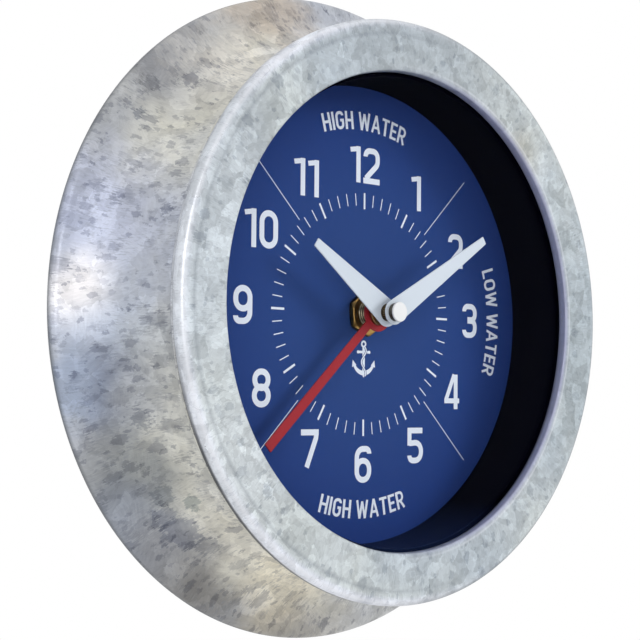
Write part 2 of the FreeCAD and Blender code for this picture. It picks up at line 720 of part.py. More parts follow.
def makeHands():
    """Three hands, the tide hand's collet, and the nut and cap on the minute shaft."""
    for name, front, length, hub, tip, hole, turn in (
        ("minute_hand", "minuteDepth", "minuteLength", "minuteHub", "minuteTip", "tipShaft", "minuteAngle"),
        ("hour_hand", "hourDepth", "hourLength", "hourHub", "hourTip", "hourTube", "hourAngle"),
    ):
        body = newBody(name, turn=turn)
        sketch = faceSketch(body, name + "_outline", front)
        outline(sketch, [("0", "-%s" % hub, hub, 1), ("-%s" % hub, "0", hub, 1),
                         ("-%s" % tip, length), (tip, length), (hub, "0")])
        circle(sketch, "0", "0", hole)
        pad(body, sketch, "handThickness")
        nodes.append(body)

    tide = newBody("tide_hand", turn="tideAngle")
    hub = faceSketch(tide, "tide_hub", "tideDepth")
    circle(hub, "0", "0", "tideHub")
    circle(hub, "0", "0", "colletRadius")
    pad(tide, hub, "handThickness")
    blade = faceSketch(tide, "tide_blade", "tideDepth")
    start = "(tideHub + colletRadius) / 2"
    outline(blade, [
        ("-tideRoot", start),
        ("-tideTip", "tideLength"),
        ("tideTip", "tideLength"),
        ("tideRoot", start),
    ])
    pad(tide, blade, "handThickness")
    nodes.append(tide)

    nodes.append(ring("tide_collet", "tideTube", "colletRadius", "tideDepth - colletFront",
                      "colletFront + handThickness + colletBack"))

    nut = newBody("minute_nut")
    nutFront = "(minuteDepth - roundNutHeight)"
    revolve(nut, [
        ("0", nutFront),
        ("nutRadius", nutFront),
        ("nutRadius", "minuteDepth"),
        ("tipShaft", "minuteDepth"),
        ("tipShaft", "minuteDepth - tipReach"),
        ("0", "minuteDepth - tipReach"),
    ])
    nodes.append(nut)

    capFront = "(minuteDepth - roundNutHeight - capThickness)"
    nodes.append(makeDisc("hand_cap", "capRadius", capFront, "capThickness"))


def turnAcross(body, name, points):
    """Turn a section round the sub-part's own line from left to right."""
    section = sketchOn(body, "XY_Plane", name)
    outline(section, points)
    feature = body.newObject("PartDesign::Revolution", name + "_turned")
    feature.Profile = section
    feature.ReferenceAxis = (section, ["H_Axis"])
    feature.Angle = 360
    return feature


def makePower():
    """Dry cell, its contacts, and the circuit and step motor behind the bridge."""
    cellDepth = "(%s - cellSunk - cellRadius)" % movementBack
    cell = newBody("battery_cell", y=cellDepth, z="-bayCentre")
    half = "(cellLength / 2)"
    turnAcross(cell, "cell", [
        ("-" + half, "0"),
        (half + " + cellButtonHeight", "0"),
        (half + " + cellButtonHeight", "cellButton"),
        (half, "cellButton"),
        (half, "cellRadius"),
        ("-" + half, "cellRadius"),
    ])
    nodes.append(cell)

    contacts = []
    floor = "(-cellRadius - bayPlay)"
    bayEnd = "(%s / 2)" % bayLength
    wall = "(%s / 2 - contactThickness)" % bayLength
    plusSeat = "(cellLength / 2 + cellButtonHeight)"
    for name, sign, seat in (("plus", "", plusSeat), ("minus", "-", "(cellLength / 2)")):
        contact = newBody("contact_" + name, y=cellDepth, z="-bayCentre")
        plan = sketchOn(contact, "XY_Plane", name + "_plan")
        top = floor + " + contactHeight"
        outline(plan, [
            (sign + bayEnd, floor),
            (sign + bayEnd, top),
            (sign + wall, top),
            (sign + seat, "0"),
            (sign + wall, floor),
        ])
        strip = contact.newObject("PartDesign::Pad", name + "_strip")
        strip.Profile = plan
        strip.Midplane = True
        bind(strip, "Length", "contactWidth")
        contacts.append(contact)
    nodes.append(compound("battery_contacts", contacts))

    motorDepth = "(%s + %s - movementWall) / 2" % (movementJoin, movementBack)
    stator = newBody("stator", x="motorShift", y=motorDepth)
    frame = faceSketch(stator, "stator_frame", "-statorThickness / 2")
    rectangle(frame, "-statorWidth / 2", "statorWidth / 2", "rotorLift - poleHalf", "motorLift + coreHalf")
    rectangle(frame, "-statorWidth / 2 + statorLeg", "statorWidth / 2 - statorLeg",
              "rotorLift + poleHalf", "motorLift - coreHalf")
    circle(frame, "0", "rotorLift", "rotorRadius + airGap")
    pad(stator, frame, "statorThickness")
    nodes.append(stator)

    rotorFront = "(%s + rotorShake)" % movementJoin
    rotor = newBody("rotor", x="motorShift", z="rotorLift")
    rotorBack = "(%s - movementWall - rotorShake)" % movementBack
    revolve(rotor, [
        ("0", rotorFront),
        ("rotorRadius", rotorFront),
        ("rotorRadius", rotorBack),
        ("0", rotorBack),
    ])
    nodes.append(rotor)

    coil = newBody("drive_coil", x="motorShift", y=motorDepth, z="motorLift")
    end = "(coilLength / 2)"
    turnAcross(coil, "coil", [
        ("-" + end, "0"),
        (end, "0"),
        (end, "coilRadius"),
        ("-" + end, "coilRadius"),
    ])
    cheeks = faceSketch(coil, "coil_cheeks", "-coilCheek")
    rectangle(cheeks, "-" + end, "-%s + coilCheekThickness" % end, "-coilCheek", "coilCheek")
    rectangle(cheeks, end + " - coilCheekThickness", end, "-coilCheek", "coilCheek")
    pad(coil, cheeks, "coilCheek * 2")
    core = faceSketch(coil, "coil_core", "-statorThickness / 2")
    rectangle(core, "-" + end, end, "-coreHalf", "coreHalf")
    pocket(coil, core, "statorThickness")
    nodes.append(coil)

    board = newBody("circuit_board", x="motorShift", y=movementJoin)
    plan = faceSketch(board, "board_outline", "0")
    boardFoot, boardTop = "boardLift - boardTall / 2", "boardLift + boardTall / 2"
    rectangle(plan, "-boardWidth / 2", "boardWidth / 2", boardFoot, boardTop)
    pad(board, plan, "boardThickness")
    nodes.append(board)

    crystalDepth = "(%s + boardThickness)" % movementJoin
    crystal = newBody("quartz_crystal", x="motorShift", y=crystalDepth, z="boardLift")
    can = faceSketch(crystal, "crystal_can", "0")
    rectangle(can, "-crystalLength / 2", "crystalLength / 2", "-crystalHeight / 2", "crystalHeight / 2")
    pad(crystal, can, "crystalHeight")
    nodes.append(crystal)


makeCase()
makeBezel()
makeFront()
makeMovementCase()
makeTrain()
makeHands()
makePower()
document.recompute()


def check():
    """Stop if any object failed or any node's shape is missing or bad."""
    for thing in document.Objects:
        if "Invalid" in thing.State or "Error" in thing.State:
            raise RuntimeError("%s is %s" % (thing.Name, thing.State))
    for node in nodes:
        shape = node.Shape
        if shape.isNull() or not shape.isValid() or not shape.Solids:
            raise RuntimeError("%s has no sound solid" % node.Label)


check()
os.makedirs("parts", exist_ok=True)
for node in nodes:
    node.Shape.exportStep("parts/%s.step" % node.Label)
    print("%-18s %d solids %9.1f mm3" % (node.Label, len(node.Shape.Solids), node.Shape.Volume))
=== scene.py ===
import bmesh
import bpy
import math
from mathutils import Matrix, Vector
from mathutils.geometry import tessellate_polygon


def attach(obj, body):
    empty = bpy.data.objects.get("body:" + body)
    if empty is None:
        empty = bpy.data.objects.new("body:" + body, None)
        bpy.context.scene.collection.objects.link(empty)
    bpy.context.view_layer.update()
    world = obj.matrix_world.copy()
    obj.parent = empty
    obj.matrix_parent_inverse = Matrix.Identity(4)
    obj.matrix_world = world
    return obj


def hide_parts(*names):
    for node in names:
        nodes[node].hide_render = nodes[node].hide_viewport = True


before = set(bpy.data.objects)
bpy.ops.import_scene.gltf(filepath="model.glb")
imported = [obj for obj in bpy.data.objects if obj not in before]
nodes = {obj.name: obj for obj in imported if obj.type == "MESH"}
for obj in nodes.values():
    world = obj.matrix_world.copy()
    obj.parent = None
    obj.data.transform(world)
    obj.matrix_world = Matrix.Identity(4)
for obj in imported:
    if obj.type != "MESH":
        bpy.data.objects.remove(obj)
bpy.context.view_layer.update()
print("frame loaded:", len(nodes), "nodes")

# Lengths are written in millimetres, and depths count from the bezel's front towards the wall.
mm = 0.001
clock = {"depth": 48.0, "dialFace": 24.3}


def place(x, depth, z):
    return Vector((x, depth - clock["depth"], z)) * mm


# ---- making meshes ----

def newObject(name, data):
    made = bpy.data.objects.new(name, data)
    bpy.context.collection.objects.link(made)
    return made


def keepPiece(name, bm, material, body, stands=(), sharp=40):
    bmesh.ops.remove_doubles(bm, verts=bm.verts, dist=1e-7)
    bmesh.ops.recalc_face_normals(bm, faces=bm.faces)
    for face in bm.faces:
        face.smooth = True
    for edge in bm.edges:
        if len(edge.link_faces) == 2:
            edge.smooth = edge.calc_face_angle(0) < math.radians(sharp)
    mesh = bpy.data.meshes.new(name)
    bm.to_mesh(mesh)
    bm.free()
    mesh.materials.append(material)
    piece = newObject(name, mesh)
    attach(piece, body)
    if stands:
        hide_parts(*stands)
    return piece


def arc(centre, radius, first, last, steps):
    turns = [math.radians(first + (last - first) * k / steps) for k in range(steps + 1)]
    return [(centre[0] + radius * math.cos(a), centre[1] + radius * math.sin(a)) for a in turns]


def turnOn(bm, profile, segments, ripple=None):
    # a closed profile of (radius, depth) turned round an axis; its UV is the share of the turn and
    # the way along the profile
    uv = bm.loops.layers.uv.verify()
    runs = [0.0]
    for before, after in zip(profile, profile[1:] + profile[:1]):
        runs.append(runs[-1] + math.hypot(after[0] - before[0], after[1] - before[1]))
    rings = []
    for radius, depth in profile:
        if radius < 1e-6:
            rings.append([bm.verts.new(place(0, depth, 0))] * segments)
            continue
        ring = []
        for k in range(segments):
            turn = 2 * math.pi * k / segments - math.pi / 2
            reach = ripple(turn, radius, depth) if ripple else radius
            ring.append(bm.verts.new(place(reach * math.cos(turn), depth, reach * math.sin(turn))))
        rings.append(ring)
    for i in range(len(rings)):
        near, far = rings[i], rings[(i + 1) % len(rings)]
        for k in range(segments):
            n = (k + 1) % segments
            corners = []
            for corner in ((near[k], k, i), (near[n], k + 1, i), (far[n], k + 1, i + 1),
                           (far[k], k, i + 1)):
                if corner[0] not in [other[0] for other in corners]:
                    corners.append(corner)
            if len(corners) > 2:
                face = bm.faces.new([corner[0] for corner in corners])
                for loop, corner in zip(face.loops, corners):
                    loop[uv].uv = (corner[1] / segments, runs[corner[2]] * mm)


def turned(name, profile, segments, material, body, stands=(), sharp=40, ripple=None):
    bm = bmesh.new()
    turnOn(bm, profile, segments, ripple)
    return keepPiece(name, bm, material, body, stands, sharp)


def grown(points, by):
    # a closed outline pushed outwards, or inwards if by is negative; it runs anticlockwise
    moved = []
    for k, point in enumerate(points):
        a, b, c = Vector(points[k - 1]), Vector(point), Vector(points[(k + 1) % len(points)])
        before, after = (b - a).normalized(), (c - b).normalized()
        first, second = Vector((before.y, -before.x)), Vector((after.y, -after.x))
        middle = (first + second).normalized()
        moved.append(tuple(b + middle * by / max(middle.dot(first), 0.35)))
    return moved


def stampOn(bm, outline, holes, front, back, edge=0.0, turn=0.0):
    # a flat piece cut from sheet, with its edges eased; outline and holes run anticlockwise
    angle = math.radians(turn)

    def at(point, depth):
        x, z = point
        return bm.verts.new(place(x * math.cos(angle) + z * math.sin(angle), depth,
                                  z * math.cos(angle) - x * math.sin(angle)))

    levels = [(front, 0), (back, 0)]
    if edge:
        levels = [(front, edge), (front + edge, 0), (back - edge, 0), (back, edge)]
    made = []
    for depth, ease in levels:
        loops = [grown(outline, -ease)] + [grown(hole, ease) for hole in holes]
        made.append((loops, [[at(point, depth) for point in loop] for loop in loops]))
    for (_, near), (_, far) in zip(made, made[1:]):
        for a, b in zip(near, far):
            for k in range(len(a)):
                bm.faces.new((a[k - 1], a[k], b[k], b[k - 1]))
    for loops, verts in (made[0], made[-1]):
        flat = [vert for loop in verts for vert in loop]
        for corners in tessellate_polygon([[Vector((x, z, 0)) for x, z in loop] for loop in loops]):
            bm.faces.new([flat[k] for k in corners])


def rounded(path, closed=False, steps=6):
    # corners given as (x, z, radius) become arcs
    points = []
    count = len(path)
    for k, corner in enumerate(path):
        here = Vector(corner[:2])
        radius = corner[2] if len(corner) > 2 else 0
        if not radius or (not closed and k in (0, count - 1)):
            points.append(tuple(here))
            continue
        back = (Vector(path[k - 1][:2]) - here).normalized()
        ahead = (Vector(path[(k + 1) % count][:2]) - here).normalized()
        half = math.acos(max(-1, min(1, back.dot(ahead)))) / 2
        spans = [(Vector(other[:2]) - here).length
                 for other in (path[k - 1], path[(k + 1) % count])]
        if closed or k > 1:
            spans[0] /= 2
        if closed or k < count - 2:
            spans[1] /= 2
        reach = min(radius / math.tan(half), 0.98 * min(spans))
        radius = reach * math.tan(half)
        middle = here + (back + ahead).normalized() * radius / math.sin(half)
        first, last = here + back * reach - middle, here + ahead * reach - middle
        swing = math.atan2(first.x * last.y - first.y * last.x, first.dot(last))
        for step in range(steps + 1):
            turn = swing * step / steps
            spoke = Vector((first.x * math.cos(turn) - first.y * math.sin(turn),
                            first.x * math.sin(turn) + first.y * math.cos(turn)))
            points.append(tuple(middle + spoke))
    return points


def strokeOn(bm, path, width, front, back, closed=False):
    # a pen stroke along a path, as a thin closed ribbon of print
    kept = []
    for point in path:
        if not kept or (Vector(point) - kept[-1]).length > 1e-4:
            kept.append(Vector(point))
    if closed and (kept[0] - kept[-1]).length < 1e-4:
        kept.pop()
    sides = []
    for k, point in enumerate(kept):
        ways = []
        if closed or k:
            ways.append((point - kept[k - 1]).normalized())
        if closed or k < len(kept) - 1:
            ways.append((kept[(k + 1) % len(kept)] - point).normalized())
        normals = [Vector((-way.y, way.x)) for way in ways]
        middle = (normals[0] + normals[-1]).normalized()
        reach = width / 2 / max(middle.dot(normals[0]), 0.5)
        sides.append((point + middle * reach, point - middle * reach))
    rails = [[bm.verts.new(place(pair[side].x, depth, pair[side].y)) for pair in sides]
             for side, depth in ((0, front), (1, front), (1, back), (0, back))]
    for k in range(len(kept) if closed else len(kept) - 1):
        n = (k + 1) % len(kept)
        for a, b in zip(rails, rails[1:] + rails[:1]):
            bm.faces.new((a[k], a[n], b[n], b[k]))
    if not closed:
        for k in (0, -1):
            bm.faces.new([rail[k] for rail in rails])


def eased(name, node, width, material, body, steps=2):
    # a moulded or cut piece with its sharp edges softened, from a merged copy of the frame's node
    bm = bmesh.new()
    bm.from_mesh(nodes[node].data)
    bmesh.ops.remove_doubles(bm, verts=bm.verts, dist=1e-6)
    bmesh.ops.dissolve_limit(bm, angle_limit=math.radians(1), verts=bm.verts, edges=bm.edges)
    rims = [edge for edge in bm.edges
            if len(edge.link_faces) == 2 and edge.calc_face_angle(0) > math.radians(35)]
    bmesh.ops.bevel(bm, geom=rims, offset=width * mm, segments=steps, profile=0.5, affect="EDGES",
                    clamp_overlap=True)
    bmesh.ops.triangulate(bm, faces=[face for face in bm.faces if len(face.verts) > 4])
    return keepPiece(name, bm, material, body, [node], sharp=30)


# ---- materials ----

def newMaterial(name):
    material = bpy.data.materials.new(name)
    material.use_nodes = True
    return material, material.node_tree, material.node_tree.nodes["Principled BSDF"]


def feed(tree, node, inputs):
    # an input is a plain value, or a (node, output) pair that gets wired in
    for socket, value in inputs.items():
        if isinstance(value, tuple) and len(value) == 2:
            tree.links.new(value[0].outputs[value[1]], node.inputs[socket])
        else:
            node.inputs[socket].default_value = value
    return node


def add(tree, kind, inputs=None, **settings):
    node = tree.nodes.new(kind)
    for key, value in settings.items():
        setattr(node, key, value)
    return feed(tree, node, inputs or {})


# the functions from here to offAxis add nodes and give back the last one's (node, output) pair

def ramp(tree, source, stops):
    # stops are (position, shade or colour)
    node = add(tree, "ShaderNodeValToRGB", {0: source})
    while len(node.color_ramp.elements) < len(stops):
        node.color_ramp.elements.new(0.5)
    for element, (where, colour) in zip(node.color_ramp.elements, stops):
        element.position = where
        element.color = (*colour, 1) if isinstance(colour, tuple) else (colour, colour, colour, 1)
    return node, 0


def layer(tree, kind, factor, under, over):
    # one colour laid over another; each is a colour or a pair, and the factor a number or a pair
    under, over = [(*value, 1) if len(value) == 3 else value for value in (under, over)]
    return add(tree, "ShaderNodeMix", {0: factor, 6: under, 7: over}, data_type="RGBA",
               blend_type=kind), 2


def maths(tree, operation, *values):
    return add(tree, "ShaderNodeMath", dict(enumerate(values)), operation=operation), 0


def times(tree, first, second):
    return maths(tree, "MULTIPLY", first, second)


def plus(tree, first, second):
    return maths(tree, "ADD", first, second)


def vector(tree, operation, *values):
    node = add(tree, "ShaderNodeVectorMath", dict(enumerate(values)), operation=operation)
    return node, "Value" if operation in ("LENGTH", "DISTANCE") else "Vector"


def mapped(tree, value, first, last, low=0.0, high=1.0, soft=False):
    # the value's way from first to last becomes the way from low to high
    ends = {0: value, "From Min": first, "From Max": last, "To Min": low, "To Max": high}
    return add(tree, "ShaderNodeMapRange", ends,
               interpolation_type="SMOOTHSTEP" if soft else "LINEAR"), 0


def noise(tree, source, scale, detail=2.0, rough=0.5):
    return add(tree, "ShaderNodeTexNoise",
               {"Vector": source, "Scale": scale, "Detail": detail, "Roughness": rough}), 0


def stretched(tree, source, scale):
    return add(tree, "ShaderNodeMapping", {"Vector": source, "Scale": scale}), 0


def bumped(tree, height, strength, distance):
    return add(tree, "ShaderNodeBump",
               {"Height": height, "Strength": strength, "Distance": distance}), 0


def spotOn(tree):
    return add(tree, "ShaderNodeTexCoord"), "Object"


def axis(tree, source, number):
    return add(tree, "ShaderNodeSeparateXYZ", {0: source}), number


def joined(tree, x=0.0, y=0.0, z=0.0):
    return add(tree, "ShaderNodeCombineXYZ", {0: x, 1: y, 2: z}), 0


def offAxis(tree, here):
    # a spot laid flat on the dial's plane, and how far it lies from the axis
    flat = vector(tree, "MULTIPLY", here, (1, 0, 1))
    return flat, vector(tree, "LENGTH", flat)


def paint(text):
    values = [int(text[i:i + 2], 16) / 255 for i in (0, 2, 4)]
    return tuple(v / 12.92 if v <= 0.04045 else ((v + 0.055) / 1.055) ** 2.4 for v in values)


# Patches of painted light and shade, with some patina and stains, and flakes are rows of x, depth,
# z, size, colour and weight. The rim band (painted shade on the case, a painted highlight on the
# bezel) and the ring and depth bands of painted light and shade run from one radius or depth to
# another, with a colour and a weight; a ring band shows on the left or else on the right, and a
# depth band in the lower part or else all round.
caseZinc = {
    "warm": "dad8cd", "cool": "c8ccd3", "pale": "dedfdf", "blot": "b9bbc4", "line": "858a93",
    "glint": "dfe3ea", "crystal": 105.0, "facet": 0.12, "leaf": 235.0, "stretch": 0.5,
    "share": 0.65, "depth": 0.72, "lines": 0.4, "ragged": 0.005, "bound": 0.12, "glow": 0.16,
    "plume": 0.06, "rough": 0.45, "edge": 0.45, "metal": 0.45, "middle": 95.0,
    # painted shade: the outer half of the case darkens towards the rolled rim
    "rim": (95.0, 106.0, "959aa8", 0.5),
    # patches of painted light and shade, with some patina: a white highlight and cool light at the
    # left rim, shade lower left, warm light at the top and bottom
    "lightShadeAndStains": [
        (-105, 44, 4, 40, "d4dbec", 0.8), (-99, 38, 26, 34, "b8bed4", 0.7),
        (-103, 41, 3, 18, "fffcfd", 1.0), (-98, 36, -12, 20, "aab4c6", 0.65),
        (-88, 23, -12, 16, "b4bac0", 0.5), (-91, 28, 4, 16, "aeb5c2", 0.5),
        (-93, 34, -27, 20, "68728a", 0.85), (-83, 36, -52, 22, "747a80", 0.75),
        (-106, 44, -26, 18, "aab6cc", 0.8), (-86, 20, -28, 24, "d8d9d6", 0.5),
        (-50, 22, -76, 40, "ebe6d6", 0.75), (-28, 32, -90, 28, "ece3cc", 0.75),
        (-20, 46, -112, 40, "a09580", 0.5), (-79, 43, -71, 24, "9aa0ac", 0.65),
        (-66, 42, -82, 25, "8a8b90", 0.7), (-50, 45, -97, 25, "767472", 0.78),
        (-66, 43, 81, 34, "7c7d82", 0.75), (-30, 43, 100, 34, "b8aa9a", 0.75),
        (-52, 30, 78, 28, "f0eade", 0.55),
    ],
    "flakes": [
        (-66, 36, -71, 6.0, "c4c8d4", 0.75), (-73, 36, -65, 3.4, "c4c8d4", 0.7),
        (-58, 34, -75, 3.6, "c8cad0", 0.7), (-75, 33, -59, 4.2, "c2c8d0", 0.7),
        (-68, 29, -61, 3.0, "bcc6ca", 0.7), (-86, 30, -35, 3.2, "b8bcc4", 0.65),
        (-66, 35, 72, 3.0, "aaacb8", 0.7), (-83, 39, 59, 2.6, "a8aebb", 0.7),
        (-78, 41, 69, 3.4, "b8bac0", 0.6), (-84, 21, 27, 2.6, "aeb2be", 0.7),
    ],
    "side": None,
    "ringShading": [],
    # painted shade in the joint behind the bezel and under the lip's hem in the lower part, and
    # round the rolled back edge
    "depthShade": [(4.0, 5.0, "2c2f34", 0.9, "low"), (6.0, 16.0, "6a6e76", 0.5, "low"),
                (44.0, 49.2, "50565c", 0.75, "all")],
}
bezelZinc = {
    "warm": "c6cccc", "cool": "bac3ca", "pale": "d2d9dd", "blot": "c4c8cf", "line": "8a949c",
    "glint": "d6dde3", "crystal": 190.0, "facet": 0.16, "leaf": 230.0, "stretch": 0.8,
    "share": 0.50, "depth": 0.62, "lines": 0.35, "ragged": 0.003, "bound": 0.25, "glow": 0.3,
    "plume": 0.05, "rough": 0.44, "edge": 0.33, "metal": 0.45, "middle": 86.0,
    # painted highlight on the bezel's rounded edge, shown on the left only
    "rim": (91.0, 93.4, "e6e8f4", 0.65),
    # patches of painted light and shade, lighter on the left and lower left and darker at the top
    # and right, and a yellowish stain at the upper right
    "lightShadeAndStains": [
        (52, 3, 58, 16, "9a9482", 0.6), (6, 0, 84, 66, "a2aab0", 0.6),
        (-74, 0, 46, 34, "a4acb4", 0.6), (-73, 0, -49, 34, "e0e6ea", 0.55),
        (-92, 0, 10, 70, "d8dfe4", 0.5), (96, 0, 0, 84, "9ca8b0", 0.7),
    ],
    "flakes": [],
    # painted shade in the crease and a painted highlight on the rim show on the left; the right has
    # a painted dark edge, painted light on the inner hem and a worn inner edge with a painted glint
    "side": (35, -15),
    "ringShading": [(89.0, 91.2, "7b828c", 0.34, "left"), (76.6, 79.6, "aeb0cc", 0.85, "right"),
              (79.2, 80.4, "e6e8f0", 0.45, "right"), (92.7, 95.3, "f4f5fa", 0.5, "left"),
              (93.2, 95.4, "5f656e", 0.7, "right")],
    # painted shade on the bezel's skirt, in the lower part
    "depthShade": [(2.2, 5.6, "30333a", 0.9, "low")],
}
# Scales of the noises, how far they move the bounds of the patches of painted light, shade and
# stain (in sizes) and of the flakes (in metres), and the heights over which the painted shade of
# the depth bands fades upwards
zincGrain = {
    "cloud": 14.0, "drift": 34.0, "crowd": 42.0, "patch": 75.0, "wobble": 210.0,
    "feather": (1900.0, 260.0, 260.0), "mark": (2400.0, 380.0, 2400.0),
    "patchWaver": 1.3, "patchFrom": 1.62, "patchTo": 0.87,
    "flakeWaver": 0.014, "flakeComb": 0.005, "flakeShift": 0.0095, "flakeSoft": 0.0008,
    "lowFrom": -0.008, "lowTo": -0.045, "lowLeast": 0.12,
}


def zincMaterial(name, look):
    # hot-dipped zinc: clouds of warm and cool grey, angular crystals with thin bounds, feathery
    # darker leaves and fine drawing marks that run across the ring
    material, tree, shader = newMaterial(name)
    grain = zincGrain
    here = spotOn(tree)
    flat, reach = offAxis(tree, here)
    # the skin is the ring's surface unrolled: round the ring, and along its section
    run = axis(tree, (here[0], "UV"), 1)
    skin = vector(tree, "MULTIPLY_ADD", vector(tree, "NORMALIZE", flat),
                  (look["middle"] * mm,) * 3, joined(tree, y=run))
    wobble = noise(tree, skin, grain["wobble"], 5.0, 0.7)
    warped = vector(tree, "MULTIPLY_ADD", (wobble[0], "Color"), (look["ragged"],) * 3, skin)

    def cells(source, scale, feature="F1"):
        inputs = {"Vector": source, "Scale": scale}
        return add(tree, "ShaderNodeTexVoronoi", inputs, feature=feature)

    def tints(source):
        return add(tree, "ShaderNodeSeparateColor", {0: (source, "Color")})

    def band(value, first, last, core, weight):
        # full in the middle between two values, and gone at both
        half = (last - first) / 2 * mm
        gap = maths(tree, "SUBTRACT", value, (first + last) / 2 * mm)
        return mapped(tree, maths(tree, "ABSOLUTE", gap), half, half * core, 0.0, weight)

    tone = ramp(tree, noise(tree, here, grain["cloud"], 3.0),
                [(0.36, paint(look["cool"])), (0.5, paint(look["warm"])),
                 (0.66, paint(look["pale"]))])
    # the rim band is painted shade on the case and a painted highlight on the left of the bezel
    first, last, colour, weight = look["rim"]
    rim = mapped(tree, reach, first * mm, last * mm, 0.0, weight, soft=True)
    rubbed = mapped(tree, reach, first * mm, last * mm, 0.0, look["edge"] - look["rough"])
    sides = {}
    if look["side"]:
        start, end = look["side"]
        sides["left"] = mapped(tree, axis(tree, here, 0), start * mm, end * mm)
        sides["right"] = maths(tree, "SUBTRACT", 1.0, sides["left"])
        rim = times(tree, rim, sides["left"])
    top = layer(tree, "MIX", rim, tone, paint(colour))

    def lay(kind, factor, colour):
        nonlocal top
        top = layer(tree, kind, factor, top, paint(colour) if isinstance(colour, str) else colour)

    drift = noise(tree, here, grain["drift"], 5.0, 0.62)
    for x, depth, z, size, colour, weight in look["lightShadeAndStains"]:
        # the noise moves the bounds of each patch of painted light and shade, or of stain, so that
        # it isn't round
        size *= mm
        gap = maths(tree, "MULTIPLY_ADD", drift, size * grain["patchWaver"],
                    vector(tree, "DISTANCE", here, place(x, depth, z)))
        fade = mapped(tree, gap, size * grain["patchFrom"], size * grain["patchTo"], 0.0, weight,
                      soft=True)
        lay("MIX", fade, colour)

    coarse = tints(cells(warped, look["crystal"]))
    fine = tints(cells(warped, look["crystal"] * 2.7))
    for tint, spread in ((coarse, look["facet"]), (fine, look["facet"] * 0.7)):
        facet = ramp(tree, (tint, 0), [(0.0, 1 - spread), (0.5, 1.0), (1.0, 1 + spread)])
        lay("MULTIPLY", 1.0, facet)
    # each crystal is feathered along a way of its own
    whirl = add(tree, "ShaderNodeVectorRotate",
                {"Vector": here, "Axis": (0, 1, 0), "Angle": times(tree, (coarse, 1), 2 * math.pi)},
                rotation_type="AXIS_ANGLE")
    feather = noise(tree, stretched(tree, (whirl, 0), grain["feather"]), 1.0, 3.0, 0.6)
    lay("MULTIPLY", 1.0,
        ramp(tree, feather, [(0.35, 1 - look["plume"]), (0.65, 1 + look["plume"])]))

    mark = noise(tree, stretched(tree, skin, grain["mark"]), 1.0, 3.0, 0.6)
    patch = noise(tree, skin, grain["patch"])
    crowd = noise(tree, skin, grain["crowd"], 3.0)
    for size, more in ((0.55, -0.13), (1.0, 0.0), (2.1, 0.02)):
        share = look["share"] + more
        leaf = cells(stretched(tree, warped, (1.0, look["stretch"], 1.0)), look["leaf"] * size)
        tint = tints(leaf)
        breadth = times(tree, plus(tree, (tint, 2), 1.4), (leaf, "Distance"))
        ragged = maths(tree, "MULTIPLY_ADD", mark, 0.55, times(tree, breadth, 0.6))
        body = ramp(tree, ragged, [(0.63, 1.0), (0.69, 0.0)])
        chance = times(tree, plus(tree, (tint, 0), crowd), 0.5)
        chosen = ramp(tree, chance, [(share - 0.12, 1.0), (share - 0.08, 0.0)])
        deep = ramp(tree, (tint, 1), [(0.0, look["depth"] * 0.3), (1.0, look["depth"])])
        lay("MULTIPLY", times(tree, body, times(tree, chosen, deep)), look["blot"])

    for x, depth, z, size, colour, weight in look["flakes"]:
        gap = maths(tree, "MULTIPLY_ADD", wobble, grain["flakeWaver"],
                    vector(tree, "DISTANCE", here, place(x, depth, z)))
        gap = maths(tree, "MULTIPLY_ADD", mark, grain["flakeComb"], gap)
        bound = size * mm + grain["flakeShift"]
        lay("MULTIPLY", mapped(tree, gap, bound, bound - grain["flakeSoft"], 0.0, weight), colour)

    scored = times(tree, ramp(tree, mark, [(0.36, 1.0), (0.47, 0.0)]),
                   ramp(tree, patch, [(0.46, 0.0), (0.58, look["lines"])]))
    bright = times(tree, ramp(tree, mark, [(0.56, 0.0), (0.68, 1.0)]),
                   ramp(tree, crowd, [(0.45, 0.0), (0.62, look["glow"])]))
    bounds = cells(warped, look["crystal"] * 1.6, "DISTANCE_TO_EDGE")
    thin = times(tree, ramp(tree, (bounds, 0), [(0.0, look["bound"]), (0.035, 0.0)]),
                 ramp(tree, patch, [(0.4, 1.0), (0.6, 0.1)]))
    lay("MIX", scored, look["line"])
    lay("MIX", bright, look["glint"])
    lay("MIX", thin, look["line"])
    # ring bands of painted light and shade: on the left, shade in the crease and a highlight on the
    # rounded edge; on the right, a dark edge, light on the inner hem and a worn edge with a painted
    # glint
    for first, last, colour, weight, side in look["ringShading"]:
        lay("MIX", times(tree, band(reach, first, last, 0.0, weight), sides[side]), colour)
    # the painted shade of the depth bands is strongest low down and fades upwards
    low = mapped(tree, axis(tree, here, 2), grain["lowFrom"], grain["lowTo"], grain["lowLeast"])
    inwards = axis(tree, here, 1)
    for first, last, colour, weight, part in look["depthShade"]:
        share = band(inwards, first - clock["depth"], last - clock["depth"], 0.4, weight)
        lay("MIX", times(tree, share, low if part == "low" else 1.0), colour)

    gloss = mapped(tree, (coarse, 1), 0.0, 1.0, look["rough"] - 0.08, look["rough"] + 0.12)
    height = plus(tree, wobble, plus(tree, (coarse, 2), mark))
    feed(tree, shader, {"Base Color": top, "Roughness": plus(tree, gloss, rubbed),
                        "Metallic": look["metal"], "Normal": bumped(tree, height, 0.12, 0.0006)})
    return material


def secondTone(tree, here, top, by, full, gone, colour):
    # a second colour, full at one radius, depth or height and gone at another
    zero = 0.0
    if by == "radius":
        measure = offAxis(tree, here)[1]
    elif by == "depth":
        measure, zero = axis(tree, here, 1), clock["depth"]
    else:
        measure = axis(tree, here, 2)
    share = mapped(tree, measure, (gone - zero) * mm, (full - zero) * mm)
    return layer(tree, "MIX", share, top, paint(colour))


